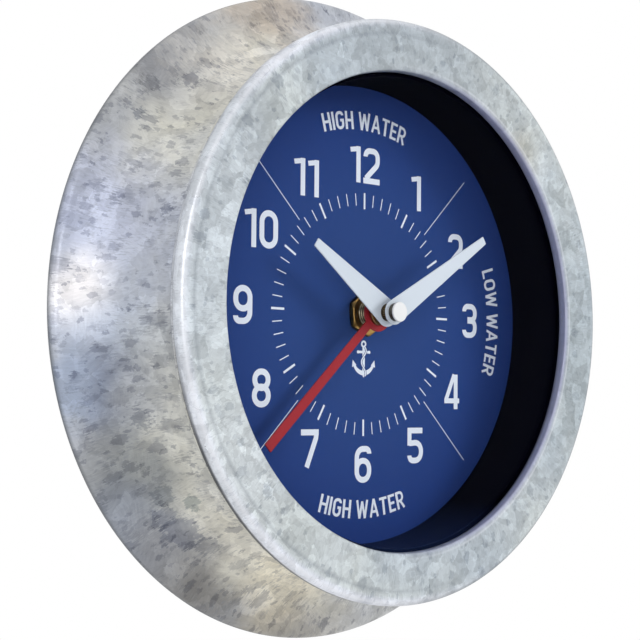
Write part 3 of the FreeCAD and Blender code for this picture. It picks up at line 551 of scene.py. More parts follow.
def coatMaterial(name, colour, rough=0.45, spread=0.06, bump=0.03, grain=900.0, tint=0.04,
                 shine=0.5, coat=0.0, second=None):
    # a painted or moulded surface with a little unevenness in tone, gloss and height
    material, tree, shader = newMaterial(name)
    here = spotOn(tree)
    fine = noise(tree, here, grain, 3.0)
    base = paint(colour)
    top = ramp(tree, noise(tree, here, grain / 30),
               [(0.3, tuple(v * (1 - tint) for v in base)),
                (0.7, tuple(min(v * (1 + tint), 1) for v in base))])
    if second:
        top = secondTone(tree, here, top, *second)
    feed(tree, shader, {"Base Color": top, "Specular IOR Level": shine,
                        "Roughness": mapped(tree, fine, 0.0, 1.0, rough - spread, rough + spread),
                        "Normal": bumped(tree, fine, bump, 0.0002)})
    if coat:
        feed(tree, shader, {"Coat Weight": coat, "Coat Roughness": 0.12})
    return material


def metalMaterial(name, colour, stain, rough=0.28, grain=260.0, second=None):
    # turned metal with tarnish in patches and fine tool marks
    material, tree, shader = newMaterial(name)
    here = spotOn(tree)
    patch = noise(tree, here, grain, 4.0, 0.65)
    top = ramp(tree, patch, [(0.36, paint(stain)), (0.54, paint(colour))])
    if second:
        top = secondTone(tree, here, top, *second)
    feed(tree, shader, {"Base Color": top, "Metallic": 1.0,
                        "Roughness": mapped(tree, patch, 0.0, 1.0, rough - 0.1, rough + 0.2),
                        "Normal": bumped(tree, noise(tree, here, 1500.0), 0.04, 0.0002)})
    return material


def dialMaterial():
    # matte navy print, a little lighter in the middle and darker towards the sleeve as painted
    # shade, on a plate that is plain grey behind
    material, tree, shader = newMaterial("dialInk")
    here = spotOn(tree)
    share = mapped(tree, offAxis(tree, here)[1], 0.0, 0.078)
    # painted shade: the print darkens towards the rim of the dial
    shade = ramp(tree, share,
                 [(0.0, paint("304c88")), (0.5, paint("2c4886")), (1.0, paint("233e83"))])
    fine = noise(tree, here, 1800.0)
    inked = layer(tree, "MULTIPLY", 1.0, shade, ramp(tree, fine, [(0.3, 0.95), (0.7, 1.0)]))
    back = (clock["dialFace"] + 0.1 - clock["depth"]) * mm
    behind = maths(tree, "GREATER_THAN", axis(tree, here, 1), back)
    rolled = noise(tree, stretched(tree, here, (60.0, 60.0, 1400.0)), 1.0, 4.0, 0.6)
    bare = ramp(tree, rolled, [(0.3, paint("888b8e")), (0.7, paint("a4a7a9"))])
    feed(tree, shader, {"Base Color": layer(tree, "MIX", behind, inked, bare), "Roughness": 0.6,
                        "Specular IOR Level": 0.1, "Normal": bumped(tree, fine, 0.015, 0.0001)})
    return material


def glassMaterial():
    # clear float glass, drawn as a faint film so that light reaches the dial
    material, tree, shader = newMaterial("clearGlass")
    dust = noise(tree, spotOn(tree), 700.0, 1.0)
    film = ramp(tree, dust, [(0.4, paint("1a1e22")), (0.7, paint("2a2f34"))])
    feed(tree, shader, {"Base Color": film, "Roughness": 0.04, "IOR": 1.45, "Alpha": 0.02})
    return material


zincCase = zincMaterial("zincCase", caseZinc)
zincBezel = zincMaterial("zincBezel", bezelZinc)
# a second tone is a painted reflection of the dial's blue on the sleeve's foot, painted shade
# between the bush's threads and the tube's knurl ribs, or a painted highlight on the nut's front
# face
sleeveBlack = coatMaterial("sleeveBlack", "02020b", rough=0.5, spread=0.05, bump=0.01, grain=500.0,
                           shine=0.005, second=("height", -79.0, -64.0, "182444"))
mouldedBlack = coatMaterial("mouldedBlack", "1b1c1f", rough=0.5, spread=0.08, bump=0.08,
                            grain=1600.0)
mouldedWhite = coatMaterial("mouldedWhite", "dcdcd6", rough=0.42)
printWhite = coatMaterial("printWhite", "ecf3ff", rough=0.6, bump=0.01, tint=0.01, shine=0.2)
handWhite = coatMaterial("handWhite", "dbe4ee", rough=0.42, bump=0.02, tint=0.015, shine=0.3)
handRed = coatMaterial("handRed", "a3222c", rough=0.42, bump=0.02, tint=0.03, shine=0.3)
capWhite = coatMaterial("capWhite", "f6f6f6", rough=0.3, bump=0.01, tint=0.01)
dialInk = dialMaterial()
clearGlass = glassMaterial()
bushBrass = metalMaterial("bushBrass", "a89d86", "6b6250", rough=0.32,
                          second=("radius", 4.14, 4.42, "1c160c"))
# painted highlight on the nut's front face and chamfer
nutBrass = metalMaterial("nutBrass", "86693a", "46371f", rough=0.3,
                         second=("depth", 22.0, 22.55, "bf9a5a"))
# painted shade at the roots of the knurl's ribs and on everything within them
tubeBrass = metalMaterial("tubeBrass", "937c55", "3e3424", rough=0.3,
                          second=("radius", 2.88, 2.93, "241c10"))
brightSteel = metalMaterial("brightSteel", "b4b6b8", "7c7e80", rough=0.25)
darkSteel = metalMaterial("darkSteel", "6e675c", "2c2824", rough=0.3)
softIron = metalMaterial("softIron", "6b6c70", "48494c", rough=0.45)
coilCopper = metalMaterial("coilCopper", "b8622c", "7a3d1a", rough=0.3)
boardGreen = coatMaterial("boardGreen", "1c4a2a", rough=0.4, coat=0.5)
cellWrap = coatMaterial("cellWrap", "22333d", rough=0.3, coat=0.6)
cellBand = coatMaterial("cellBand", "8e969c", rough=0.3, coat=0.6)

nodeLooks = [
    (clearGlass, ["glass_lens"]), (dialInk, ["dial_plate"]), (boardGreen, ["circuit_board"]),
    (tubeBrass, ["hour_wheel", "tide_wheel"]), (coilCopper, ["drive_coil"]),
    (mouldedWhite, ["minute_wheel", "tide_idler", "setting_arbor"]),
    (softIron, ["stator", "rotor"]),
    (brightSteel, ["train_pins", "minute_shaft", "battery_contacts", "quartz_crystal"]),
]
for look, names in nodeLooks:
    for name in names:
        nodes[name].data.materials.clear()
        nodes[name].data.materials.append(look)
print("materials made")

# ---- case, bezel and sleeve ----

caseForm = {
    "rimRadius": 110.0, "rimRoll": 2.7, "land": 3.8, "curl": 0.5, "wall": 0.8, "neckRadius": 87.5,
    "lipRadius": 94.6, "lipDepth": 4.3, "lipHem": 1.6, "bore": 78.02, "ease": 0.15, "segments": 256,
    "blackRadius": 86.0, "blackDepth": 8.0,
}


def caseProfile(form):
    lip, neck, front, wall = [form[key] for key in ("lipRadius", "neckRadius", "lipDepth", "wall")]
    bore, ease, curl, rolled = [form[key] for key in ("bore", "ease", "curl", "rimRoll")]
    flare, hem = lip - neck, form["lipHem"] / 2
    flareEnd = (lip, front + form["lipHem"] + flare)
    roll = (form["rimRadius"] - rolled, clock["depth"] - rolled)
    across, along = roll[0] - neck, roll[1] - flareEnd[1]
    cove = (across ** 2 + along ** 2 - rolled ** 2) / (2 * (rolled + across))
    centre = (neck + cove, flareEnd[1])
    toRim = math.degrees(math.atan2(along, roll[0] - centre[0]))
    points = [(bore, front + ease), (bore + ease, front)]
    points += arc((lip - hem, front + hem), hem, -90, 86, 8)
    points += arc(flareEnd, flare, -93, -180, 10)
    points += arc(centre, cove, 180, toRim, 26)[1:]
    points += arc(roll, rolled, toRim - 180, 90, 12)[1:]
    points += arc((roll[0] - form["land"] + curl, clock["depth"] - curl), curl, 90, 230, 4)
    points += arc(centre, cove + wall, toRim - 2.0, 180, 22)
    points += arc(flareEnd, flare + wall, 180, 250, 8)[1:]
    return points + [(bore, front + wall)]


shell = turned("caseShell", caseProfile(caseForm), caseForm["segments"], zincCase, "case",
               ["case_shell"], sharp=50)
# painted shade: the flange is given the sleeve's black where it shows through the edge of the glass
shell.data.materials.append(sleeveBlack)
for face in shell.data.polygons:
    if (math.hypot(face.center.x, face.center.z) < caseForm["blackRadius"] * mm
            and face.center.y < (caseForm["blackDepth"] - clock["depth"]) * mm):
        face.material_index = 1

bezelForm = {
    "opening": 78.0, "lip": 3.3, "hem": 0.9, "crease": 90.3, "round": 1.9, "fall": 0.12,
    "radius": 94.9, "skirt": 4.2, "wall": 0.8, "curl": 0.4, "segments": 256,
}


def bezelProfile(form):
    opening, crease, hem, wall, curl = [form[key] for key in
                                        ("opening", "crease", "hem", "wall", "curl")]
    edge = (form["radius"] - form["round"], form["fall"] + form["round"])
    inside, lip = opening + wall, form["lip"] - 0.2
    points = [(opening, lip)] + arc((opening + hem, hem), hem, 180, 262, 7)
    points += [(opening + 2.2, 0.03), (crease - 4, 0.0), (crease - 0.8, 0.03), (crease - 0.3, 0.16),
               (crease + 0.2, 0.2), (crease + 0.9, 0.1)]
    points += arc(edge, form["round"], -80, 0, 9)
    points += arc((form["radius"] - curl, form["skirt"] - curl), curl, 0, 180, 6)
    points += arc(edge, form["round"] - wall, 0, -80, 5)
    points += [(crease, 1.02), (inside + 0.3, 0.85), (inside, 1.2), (inside, lip)]
    return points + arc((opening + wall / 2, lip), wall / 2 - 0.01, 0, 180, 4)[1:-1]


turned("bezelRing", bezelProfile(bezelForm), bezelForm["segments"], zincBezel, "case",
       ["bezel_ring"], sharp=50)

sleeveForm = {"bore": 76.9, "outside": 78.0, "front": 4.3, "back": 24.3, "ease": 0.3}


def sleeveProfile(form):
    bore, outside, front, back, ease = form.values()
    return [(bore + ease, front), (outside, front), (outside, back), (bore, back),
            (bore, front + ease)]


turned("dialSleeve", sleeveProfile(sleeveForm), 256, sleeveBlack, "case", ["dial_sleeve"])
print("case made")

# ---- dial print ----

printing = {"proud": 0.04, "sunk": 0.02, "step": 0.002}
printBack = clock["dialFace"] + printing["sunk"]


def printFront(number):
    # strokes of one sign lie a hair apart, so that they don't flicker where they cross
    return clock["dialFace"] - printing["proud"] - number * printing["step"]


def glyph(sign, w, h, t):
    # a plain round-cornered hand: closed loops as (foot, top, inset), and open strokes as the pen's
    # width and its points (x, z[, radius])
    left, right, foot, top, bar = t / 2, w - t / 2, t / 2, h - t / 2, h / 2
    bowl = min((right - left) / 2, 3.0)
    thin = t * 0.9
    stem = (t, (left, 0), (left, h))
    loops = {
        "0": [(foot, top, 0)], "6": [(foot, h * 0.6, 0)],
        "8": [(foot, h * 0.53, 0), (h * 0.5, top, 0.15)], "O": [(foot, top, 0)],
    }
    strokes = {
        "1": [(t, (right, 0), (right, h)), (t * 0.84, (0, h - t * 0.75), (right, h - t * 0.42))],
        "2": [(t, (left, h * 0.75), (left, top, bowl), (right, top, bowl), (right, h * 0.56, 2.6),
               (left + t * 0.1, t * 0.9)), (t, (0, foot), (w, foot))],
        "3": [(t, (left, h * 0.77), (left, top, bowl), (right, top, bowl), (right, h * 0.54, 1.9),
               (w * 0.36, h * 0.53)),
              (t, (w * 0.36, h * 0.5), (right, h * 0.49, 1.9), (right, foot, bowl),
               (left, foot, bowl), (left, h * 0.23))],
        "4": [(thin, (w * 0.66, h), (t * 0.42, h * 0.27)), (thin, (0, h * 0.24), (w, h * 0.24)),
              (t, (w * 0.76, 0), (w * 0.76, h))],
        "5": [(t, (0, top), (w * 0.96, top)), (t, (left, h), (left, h * 0.5)),
              (t, (left, h * 0.56), (right, h * 0.60, bowl), (right, foot, bowl),
               (left, foot, bowl), (left, h * 0.22))],
        "6": [(t, (right, h * 0.79), (right, top, bowl), (left, top, bowl), (left, h * 0.26))],
        "7": [(t, (0, top), (w, top)),
              (t, (right, h), (right - 0.15, h * 0.78, 3.0), (w * 0.33, 0))],
        "H": [stem, (t, (right, 0), (right, h)), (thin, (left, bar), (right, bar))],
        "I": [(t, (w / 2, 0), (w / 2, h))],
        "G": [(t, (right, h * 0.76), (right, top, bowl), (left, top, bowl), (left, foot, bowl),
               (right, foot, bowl), (right, bar)), (thin, (w, bar), (w * 0.55, bar))],
        "W": [(thin, (t * 0.4, h), (w * 0.27, 0)), (thin, (w * 0.27, 0), (w / 2, h * 0.92)),
              (thin, (w / 2, h * 0.92), (w * 0.73, 0)), (thin, (w * 0.73, 0), (w - t * 0.4, h))],
        "A": [(thin, (t * 0.4, 0), (w / 2, h)), (thin, (w / 2, h), (w - t * 0.4, 0)),
              (thin, (w * 0.22, h * 0.3), (w * 0.78, h * 0.3))],
        "T": [(t, (w / 2, 0), (w / 2, top)), (thin, (0, top), (w, top))],
        "E": [stem, (thin, (left, top), (w, top)), (thin, (left, bar), (w * 0.9, bar)),
              (thin, (left, foot), (w, foot))],
        "R": [stem, (thin, (w * 0.5, h * 0.45), (w - t * 0.35, 0)),
              (thin, (left, top), (right, top, bowl), (right, h * 0.45, bowl), (left, h * 0.45))],
        "L": [stem, (thin, (left, foot), (w, foot))],
    }
    made = []
    for low, high, inset in loops.get(sign, []):
        a, b = left + inset, right - inset
        corners = [(a, low, bowl), (b, low, bowl), (b, high, bowl), (a, high, bowl)]
        made.append((rounded(corners, True), True, t))
    return made + [(rounded(path), False, pen) for pen, *path in strokes.get(sign, [])]


def writeOn(bm, signs, widths, form, put):
    # a row of signs round its middle; put turns (x, z, the sign's middle) of the row into the
    # dial's x and z, and a space has no strokes
    h, t, gap = form["height"], form["pen"], form["gap"]
    x = -(sum(widths) + gap * (len(signs) - 1)) / 2
    for sign, w in zip(signs, widths):
        for number, (path, closed, pen) in enumerate(glyph(sign, w, h, t)):
            points = [put(x + px, pz - h / 2, x + w / 2) for px, pz in path]
            strokeOn(bm, points, pen, printFront(number), printBack, closed)
        x += w + gap


hourFigures = {
    "height": 12.3, "width": 7.7, "one": 4.7, "pen": 1.95, "gap": 1.35,
    "centres": {
        "12": (0.2, 50.5), "1": (25.1, 43.5), "2": (45.4, 24.7), "3": (53.0, 0.0),
        "4": (43.7, -25.7), "5": (25.1, -44.5), "6": (0.0, -50.5), "7": (-24.0, -44.8),
        "8": (-44.7, -25.5), "9": (-52.6, 0.5), "10": (-45.3, 25.0), "11": (-26.3, 43.5),
    },
}


def straight(centre, way):
    return lambda x, z, middle: (centre[0] + way * x, centre[1] + way * z)


bm = bmesh.new()
for figure, centre in hourFigures["centres"].items():
    # the nine is the six turned over
    signs, way = ("6", -1) if figure == "9" else (figure, 1)
    widths = [hourFigures["one" if sign == "1" else "width"] for sign in signs]
    writeOn(bm, signs, widths, hourFigures, straight(centre, way))
keepPiece("hourFigures", bm, printWhite, "case")

tideWords = {
    "height": 6.1, "pen": 1.0, "gap": 0.72, "radius": 65.4,
    "widths": {"H": 3.7, "I": 0.95, "G": 3.7, "W": 5.4, "A": 4.2, "T": 3.5, "E": 3.1, "R": 3.6,
               "L": 3.0, "O": 4.0, " ": 1.1},
    "legends": [("HIGH WATER", 0, 1), ("LOW WATER", 90, 1), ("HIGH WATER", 180, -1),
                ("LOW WATER", 270, 1)],
}


def roundTheDial(clockwise, tops, radius):
    # each sign stays straight and stands on the ring, with its top outwards (1) or inwards (-1)
    def put(x, z, middle):
        turn = math.radians(clockwise) + tops * middle / radius
        across, out = tops * (x - middle), radius + tops * z
        return (out * math.sin(turn) + across * math.cos(turn),
                out * math.cos(turn) - across * math.sin(turn))
    return put


bm = bmesh.new()
for words, clockwise, tops in tideWords["legends"]:
    widths = [tideWords["widths"][sign] for sign in words]
    writeOn(bm, words, widths, tideWords, roundTheDial(clockwise, tops, tideWords["radius"]))
keepPiece("tideWords", bm, printWhite, "case")

# A fouled anchor under the centre: ring, stock, shank, arms with flukes, and a rope round the shank
anchorMark = {
    "ring": -10.15, "ringRadius": 0.9, "ringPen": 0.66, "shankTop": -11.0, "crown": -20.6,
    "shank": 1.1, "stock": -12.85, "stockHalf": 2.6, "stockPen": 0.85, "armRadius": 5.1,
    "arms": -15.6, "fluke": 4.95, "rope": 0.5, "ropeGap": 0.42, "ropeLength": 9.9, "sway": 1.2,
}


def anchorOn(bm, mark):
    ring = arc((0, mark["ring"]), mark["ringRadius"], 0, 360, 24)
    strokeOn(bm, ring, mark["ringPen"], printFront(0), printBack, closed=True)
    shank = [(0, mark["shankTop"]), (0, mark["crown"])]
    strokeOn(bm, shank, mark["shank"], printFront(1), printBack)
    stock = [(-mark["stockHalf"], mark["stock"]), (mark["stockHalf"], mark["stock"])]
    strokeOn(bm, stock, mark["stockPen"], printFront(2), printBack)
    for end in stock:
        strokeOn(bm, arc(end, 0.3, 0, 360, 12), 0.5, printFront(3), printBack, closed=True)
    # the arms are a crescent, thickest at the crown, with a point below it
    outer = arc((0, mark["arms"]), mark["armRadius"], 200, 340, 20)
    inner = arc((0, mark["arms"] + 1.3), mark["armRadius"] - 0.25, 340, 200, 20)
    stampOn(bm, outer + inner, [], printFront(4), printBack)
    stampOn(bm, [(-0.8, -20.3), (0, -21.45), (0.8, -20.3)], [], printFront(5), printBack)
    for side in (-1, 1):
        x, z = side * mark["fluke"], mark["arms"] - 1.3
        head = [(x - side * 1.55, z - 0.35), (x + side * 0.4, z - 1.1), (x + side * 0.1, z + 1.35)]
        stampOn(bm, head[::side], [], printFront(6), printBack)


def ropePath(mark):
    # a wave down the shank that grows narrower
    shares = [k / 32 for k in range(33)]
    return [(mark["sway"] * math.sin(share * 2.6 * math.pi + 0.4) * (1 - 0.25 * share),
             mark["ring"] - 0.9 - share * mark["ropeLength"]) for share in shares]


bm = bmesh.new()
anchorOn(bm, anchorMark)
keepPiece("anchorMark", bm, printWhite, "case")
for name, extra, proud, material in (("ropeGap", anchorMark["ropeGap"], 0.06, dialInk),
                                     ("anchorRope", 0, 0.07, printWhite)):
    bm = bmesh.new()
    strokeOn(bm, ropePath(anchorMark), anchorMark["rope"] + extra, clock["dialFace"] - proud,
             printBack)
    keepPiece(name, bm, material, "case")


def markTree():
    # rectangles set round a circle; "Group" and "Left out" skip the places that longer marks take
    tree = bpy.data.node_groups.new("marksRound", "GeometryNodeTree")
    for kind, labels in (("Int", ("Count", "Group", "Left out")), ("Material", ("Paint",)),
                         ("Float", ("Start", "Inner", "Outer", "Width", "Front", "Back"))):
        for label in labels:
            tree.interface.new_socket(label, in_out="INPUT", socket_type="NodeSocket" + kind)
    tree.interface.new_socket("Geometry", in_out="OUTPUT", socket_type="NodeSocketGeometry")
    start = tree.nodes.new("NodeGroupInput")
    inner, outer, front, back = [(start, label) for label in ("Inner", "Outer", "Front", "Back")]
    index = (add(tree, "GeometryNodeInputIndex"), 0)
    share = maths(tree, "DIVIDE", index, (start, "Count"))
    turn = plus(tree, times(tree, share, 2 * math.pi), (start, "Start"))
    radius = times(tree, plus(tree, inner, outer), 0.5)
    spot = joined(tree, times(tree, maths(tree, "SINE", turn), radius),
                  times(tree, plus(tree, front, back), 0.5),
                  times(tree, maths(tree, "COSINE", turn), radius))
    points = add(tree, "GeometryNodePoints", {"Count": (start, "Count"), "Position": spot})
    size = joined(tree, (start, "Width"), maths(tree, "SUBTRACT", back, front),
                  maths(tree, "SUBTRACT", outer, inner))
    mark = add(tree, "GeometryNodeMeshCube", {"Size": size})
    kept = add(tree, "FunctionNodeCompare",
               {0: maths(tree, "MODULO", index, (start, "Group")), 1: (start, "Left out")},
               data_type="FLOAT", operation="GREATER_EQUAL")
    setOut = add(tree, "GeometryNodeInstanceOnPoints",
                 {"Points": (points, 0), "Selection": (kept, 0), "Instance": (mark, 0),
                  "Rotation": joined(tree, y=turn)})
    real = add(tree, "GeometryNodeRealizeInstances", {0: (setOut, 0)})
    painted = add(tree, "GeometryNodeSetMaterial",
                  {"Geometry": (real, 0), "Material": (start, "Paint")})
    add(tree, "NodeGroupOutput", {0: (painted, 0)})
    return tree


def marksRound(name, tree, values):
    holder = newObject(name + "Maker", bpy.data.meshes.new(name + "Maker"))
    modifier = holder.modifiers.new("marks", "NODES")
    modifier.node_group = tree
    for item in tree.interface.items_tree:
        if item.in_out == "INPUT":
            modifier[item.identifier] = values[item.name]
    graph = bpy.context.evaluated_depsgraph_get()
    mesh = bpy.data.meshes.new_from_object(holder.evaluated_get(graph))
    mesh.name = name
    holder.modifiers.clear()
    bpy.data.objects.remove(holder)
    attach(newObject(name, mesh), "case")


marks = {
    "hourMarks": {"Count": 12, "Group": 1, "Left out": 0, "Start": 0.0,
                  "Inner": 35.5, "Outer": 41.0, "Width": 0.75},
    "minuteMarks": {"Count": 60, "Group": 5, "Left out": 1, "Start": 0.0,
                    "Inner": 36.6, "Outer": 40.7, "Width": 0.33},
    "quarterLines": {"Count": 4, "Group": 1, "Left out": 0, "Start": math.pi / 4,
                     "Inner": 41.4, "Outer": 70.7, "Width": 0.26},
}
tree = markTree()
for name, values in marks.items():
    lengths = {key: values[key] * mm for key in ("Inner", "Outer", "Width")}
    lengths["Front"] = (printFront(0) - clock["depth"]) * mm
    lengths["Back"] = (printBack - clock["depth"]) * mm
    marksRound(name, tree, {**values, **lengths, "Paint": printWhite})
print("dial printed")

# ---- hands and the pieces on the axis ----

handForm = {
    "minute": {"front": 9.6, "length": 52.3, "hub": 4.15, "tip": 1.45, "hole": 1.2, "turn": 58.4},
    "hour": {"front": 13.1, "length": 38.1, "hub": 4.7, "tip": 1.5, "hole": 2.87, "turn": 303.6},
    "tide": {"front": 17.4, "length": 65.0, "hub": 6.2, "root": 1.55, "tip": 1.75, "hole": 4.05,
             "turn": 227.0},
    "thickness": 0.5, "edge": 0.1, "corner": 0.12,
}


def handMade(name, first, last, steps, material):
    # an arc of the hub, then flanks to a squared tip
    form, corner = handForm[name], handForm["corner"]
    tip, end = form["tip"], form["length"]
    outline = arc((0, 0), form["hub"], first, last, steps)
    outline += [(tip, end - corner), (tip - corner, end), (corner - tip, end), (-tip, end - corner)]
    bm = bmesh.new()
    stampOn(bm, outline, [arc((0, 0), form["hole"], 0, 360, 48)[:-1]], form["front"],
            form["front"] + handForm["thickness"], handForm["edge"], form["turn"])
    keepPiece(name + "Hand", bm, material, name, [name + "_hand"], sharp=35)


handMade("minute", 180, 360, 40, handWhite)
handMade("hour", 180, 360, 40, handWhite)
root = math.degrees(math.asin(handForm["tide"]["root"] / handForm["tide"]["hub"]))
handMade("tide", 90 + root, 450 - root, 72, handRed)

bushForm = {"radius": 4.5, "bore": 3.55, "front": 19.0, "back": 26.3, "pitch": 1.0, "deep": 0.46,
            "smooth": 24.0, "steps": 56, "ease": 0.15, "start": 0.05}


def bushProfile(form):
    radius, bore, front, back = [form[key] for key in ("radius", "bore", "front", "back")]
    step = (form["smooth"] - front) / form["steps"]
    threads = [(radius, front + form["start"] + step * k) for k in range(form["steps"])]
    return [(bore, front + form["ease"]), (bore + form["ease"], front), (radius - 0.4, front),
            *threads, (radius, back), (bore, back)]


def threadCut(form):
    # a helical thread: the radius follows the turn and the depth
    def cut(turn, radius, depth):
        if (radius < form["radius"] - 0.01 or depth > form["smooth"]
                or depth < form["front"] + form["start"]):
            return radius
        share = (depth / form["pitch"] + turn / (2 * math.pi)) % 1
        return radius - form["deep"] * abs(2 * share - 1)
    return cut


turned("threadedBush", bushProfile(bushForm), 96, bushBrass, "case", ["threaded_bush"], sharp=30,
       ripple=threadCut(bushForm))

nutForm = {"flats": 13.6, "bore": 4.5, "front": 22.0, "back": 24.3, "turn": 24.0, "ease": 0.3,
           "chamfer": 0.15, "slope": 1.9, "steps": 14}


def nutProfile(form):
    bore, front, back, steps = [form[key] for key in ("bore", "front", "back", "steps")]
    depths = [front + (back - front) * k / steps for k in range(steps + 1)]
    return [(bore, front + form["ease"]), (bore + form["ease"], front),
            *[(form["flats"] / 2, depth) for depth in depths], (bore, back)]


def hexCut(form):
    # six flats, cut back by a turned chamfer towards both faces
    half, corner = form["flats"] / 2, form["flats"] / math.sqrt(3)

    def cut(turn, radius, depth):
        if radius <= form["bore"] + 0.4:
            return radius
        side = (math.degrees(turn) + form["turn"] + 30) % 60 - 30
        flat = half / math.cos(math.radians(abs(side) - 30))
        near = min(depth - form["front"], form["back"] - depth)
        return min(flat, half - form["chamfer"] + near * form["slope"], corner)
    return cut


turned("hexNut", nutProfile(nutForm), 144, nutBrass, "case", ["hex_nut"], sharp=25,
       ripple=hexCut(nutForm))

colletForm = {"bore": 3.5, "radius": 4.05, "front": 16.3, "back": 18.6, "ease": 0.15}


def colletProfile(form):
    bore, radius, front, back, ease = form.values()
    return [(bore, front), (radius - ease, front), (radius, front + ease), (radius, back - ease),
            (radius - ease, back), (bore, back)]


turned("tideCollet", colletProfile(colletForm), 72, tubeBrass, "tide", ["tide_collet"], sharp=30)

knurl = {"radius": 2.87, "proud": 0.06, "front": 10.62, "back": 13.08, "count": 30, "sunk": 0.1}


def knurlProfile(form):
    inner, outer = form["radius"] - form["sunk"], form["radius"] + form["proud"]
    front, back = form["front"], form["back"]
    return [(inner, front), (outer - 0.12, front), (outer, front + 0.2), (outer, back),
            (inner, back)]


def knurlCut(form):
    # ribs along the tube
    return lambda turn, radius, depth: radius - form["proud"] * (radius > form["radius"]) * (
        0.5 - 0.5 * math.cos(form["count"] * turn))


turned("hourKnurl", knurlProfile(knurl), 240, tubeBrass, "hour", sharp=60, ripple=knurlCut(knurl))

smallNut = {"bore": 1.2, "radius": 3.0, "front": 7.7, "back": 9.6, "seat": 8.1}


def smallNutProfile(form):
    bore, radius, front, back, seat = form.values()
    return [(0, front), (radius - 0.2, front), (radius, front + 0.2), (radius, back - 0.15),
            (radius - 0.15, back), (bore, back), (bore, seat), (0, seat)]


turned("minuteNut", smallNutProfile(smallNut), 64, darkSteel, "minute", ["minute_nut"], sharp=30)

capForm = {"radius": 3.3, "front": 6.9, "back": 7.7, "dome": 0.12, "ease": 0.22}


def capProfile(form):
    radius, front, back, dome, ease = form.values()
    return [(0, front), (radius * 0.5, front + dome * 0.25), (radius - 0.4, front + dome),
            *arc((radius - ease, front + dome + ease), ease, -70, 0, 4),
            (radius, back - 0.1), (radius - 0.1, back), (0, back)]


turned("handCap", capProfile(capForm), 72, capWhite, "minute", ["hand_cap"])
print("hands made")

# ---- movement ----

for name, node, width, material, body in (
    ("movementFront", "movement_front", 0.25, mouldedBlack, "case"),
    ("movementRear", "movement_rear", 0.25, mouldedBlack, "case"),
    ("settingKnob", "setting_knob", 0.25, mouldedBlack, "setting"),
    ("trainBridge", "train_bridge", 0.12, mouldedWhite, "case"),
    ("dialSpacers", "dial_spacers", 0.2, brightSteel, "case"),
):
    eased(name, node, width, material, body)

cellForm = {"radius": 7.1, "from": -24.6, "shoulder": 24.4, "nub": 25.8, "nubRadius": 2.75,
            "depth": 37.15, "z": -22.4, "segments": 96, "bareEnds": 6.0, "bandFrom": -8.4}


def cellProfile(form):
    # along the cell: a flat end with a ring, the wrap turned over both rims, and the raised contact
    r, first, last = form["radius"], form["from"], form["shoulder"]
    nub, end = form["nubRadius"], form["nub"]
    points = [(0, first + 0.15), (2.6, first + 0.15), (3.0, first), (4.9, first),
              (5.3, first + 0.25), (5.9, first + 0.25), (6.1, first + 0.05),
              (r - 0.35, first + 0.05), (r, first + 0.4),
              (r, -9.0), (r - 0.03, -8.9), (r - 0.03, -7.9), (r, -7.8),
              (r, last - 0.4), (r - 0.35, last - 0.05), (6.1, last - 0.05), (5.9, last - 0.3),
              (nub + 0.5, last - 0.3), (nub, last - 0.1), (nub, end - 0.25), (nub - 0.25, end),
              (0, end)]
    return [(radius, along + clock["depth"]) for radius, along in points]


bm = bmesh.new()
turnOn(bm, cellProfile(cellForm), cellForm["segments"])
middle = place(0, cellForm["depth"], cellForm["z"])
bm.transform(Matrix.Translation(middle) @ Matrix.Rotation(-math.pi / 2, 4, "Z"))
cell = keepPiece("batteryCell", bm, cellWrap, "case", ["battery_cell"], sharp=30)
cell.data.materials.append(brightSteel)
cell.data.materials.append(cellBand)
for face in cell.data.polygons:
    # the ends are bare steel, and one end of the wrap has a pale band
    out = math.hypot(face.center.y - middle.y, face.center.z - middle.z)
    if out < cellForm["bareEnds"] * mm:
        face.material_index = 1
    elif face.center.x < cellForm["bandFrom"] * mm:
        face.material_index = 2
print("movement made")

# ---- camera, light and floor ----

cameraForm = {
    "origin": (-0.341467, -0.378023, -0.030650), "right": (0.74021, -0.67233, 0.00779),
    "up": (-0.04465, -0.03759, 0.99830), "forward": (0.67089, 0.73930, 0.05784), "lens": 82.24,
    "film": 36, "clip": 0.01,
}
lens = bpy.data.cameras.new("camera")
lens.lens = cameraForm["lens"]
lens.sensor_width = cameraForm["film"]
lens.clip_start = cameraForm["clip"]
camera = newObject("camera", lens)
backward = [-v for v in cameraForm["forward"]]
axes = Matrix((cameraForm["right"], cameraForm["up"], backward)).transposed()
camera.matrix_world = Matrix.Translation(cameraForm["origin"]) @ axes.to_4x4()
bpy.context.scene.camera = camera

floorForm = {"height": -0.32, "half": 3.0}
bm = bmesh.new()
bm.faces.new([bm.verts.new((x * floorForm["half"], y * floorForm["half"], floorForm["height"]))
              for x, y in ((-1, -1), (1, -1), (1, 1), (-1, 1))])
floorMesh = bpy.data.meshes.new("floor")
bm.to_mesh(floorMesh)
bm.free()
floor = newObject("floor", floorMesh)


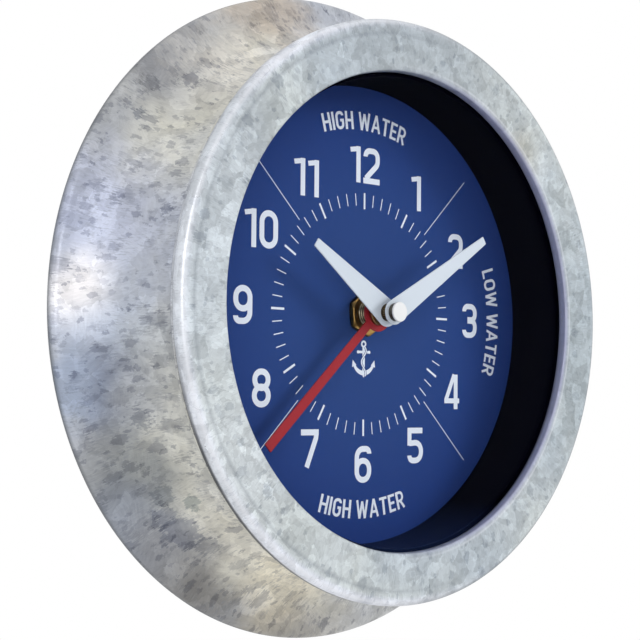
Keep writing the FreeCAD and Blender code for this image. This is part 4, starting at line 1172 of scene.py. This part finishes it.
def seenPlainly(tree):
    # 1 where the eye, a reflection or clear glass meets the backdrop itself
    path = add(tree, "ShaderNodeLightPath")
    direct = maths(tree, "MAXIMUM", (path, "Is Camera Ray"), (path, "Is Glossy Ray"))
    return maths(tree, "MAXIMUM", direct, (path, "Is Transmission Ray"))


def floorMaterial():
    material, tree, shader = newMaterial("paleFloor")
    feed(tree, shader, {"Base Color": (0.8, 0.8, 0.8, 1), "Roughness": 0.9})
    glow = add(tree, "ShaderNodeEmission", {"Color": (1, 1, 1, 1), "Strength": 1.0})
    blend = add(tree, "ShaderNodeMixShader", {0: seenPlainly(tree), 1: (shader, 0), 2: (glow, 0)})
    feed(tree, tree.nodes["Material Output"], {"Surface": (blend, 0)})
    return material


floorMesh.materials.append(floorMaterial())

lamps = {
    "key": {"at": (1.1, -1.1, 0.55), "size": 0.5, "power": 10.0, "mirrored": False},
    "left": {"at": (-0.62, -0.7, 0.22), "size": 0.4, "power": 1.5, "mirrored": True},
    "top": {"at": (-0.2, -0.2, 1.3), "size": 0.9, "power": 2.0, "mirrored": False},
}
aim = Vector((0, -0.02, 0))
for name, lamp in lamps.items():
    light = bpy.data.lights.new(name, "AREA")
    light.size = lamp["size"]
    light.energy = lamp["power"]
    softbox = newObject(name, light)
    softbox.location = lamp["at"]
    softbox.rotation_euler = (aim - Vector(lamp["at"])).to_track_quat("-Z", "Y").to_euler()
    softbox.visible_glossy = lamp["mirrored"]

# the room lights the clock softly, and is plain white where it is seen
world = bpy.data.worlds.new("studio")
bpy.context.scene.world = world
world.use_nodes = True
sky = world.node_tree
room = feed(sky, sky.nodes["Background"], {"Color": (0.95, 0.97, 1.0, 1), "Strength": 0.6})
white = add(sky, "ShaderNodeBackground", {"Color": (1, 1, 1, 1), "Strength": 1.0})
pick = add(sky, "ShaderNodeMixShader", {0: seenPlainly(sky), 1: (room, 0), 2: (white, 0)})
feed(sky, sky.nodes["World Output"], {"Surface": (pick, 0)})
bpy.context.scene.view_settings.view_transform = "Standard"
print("studio set")
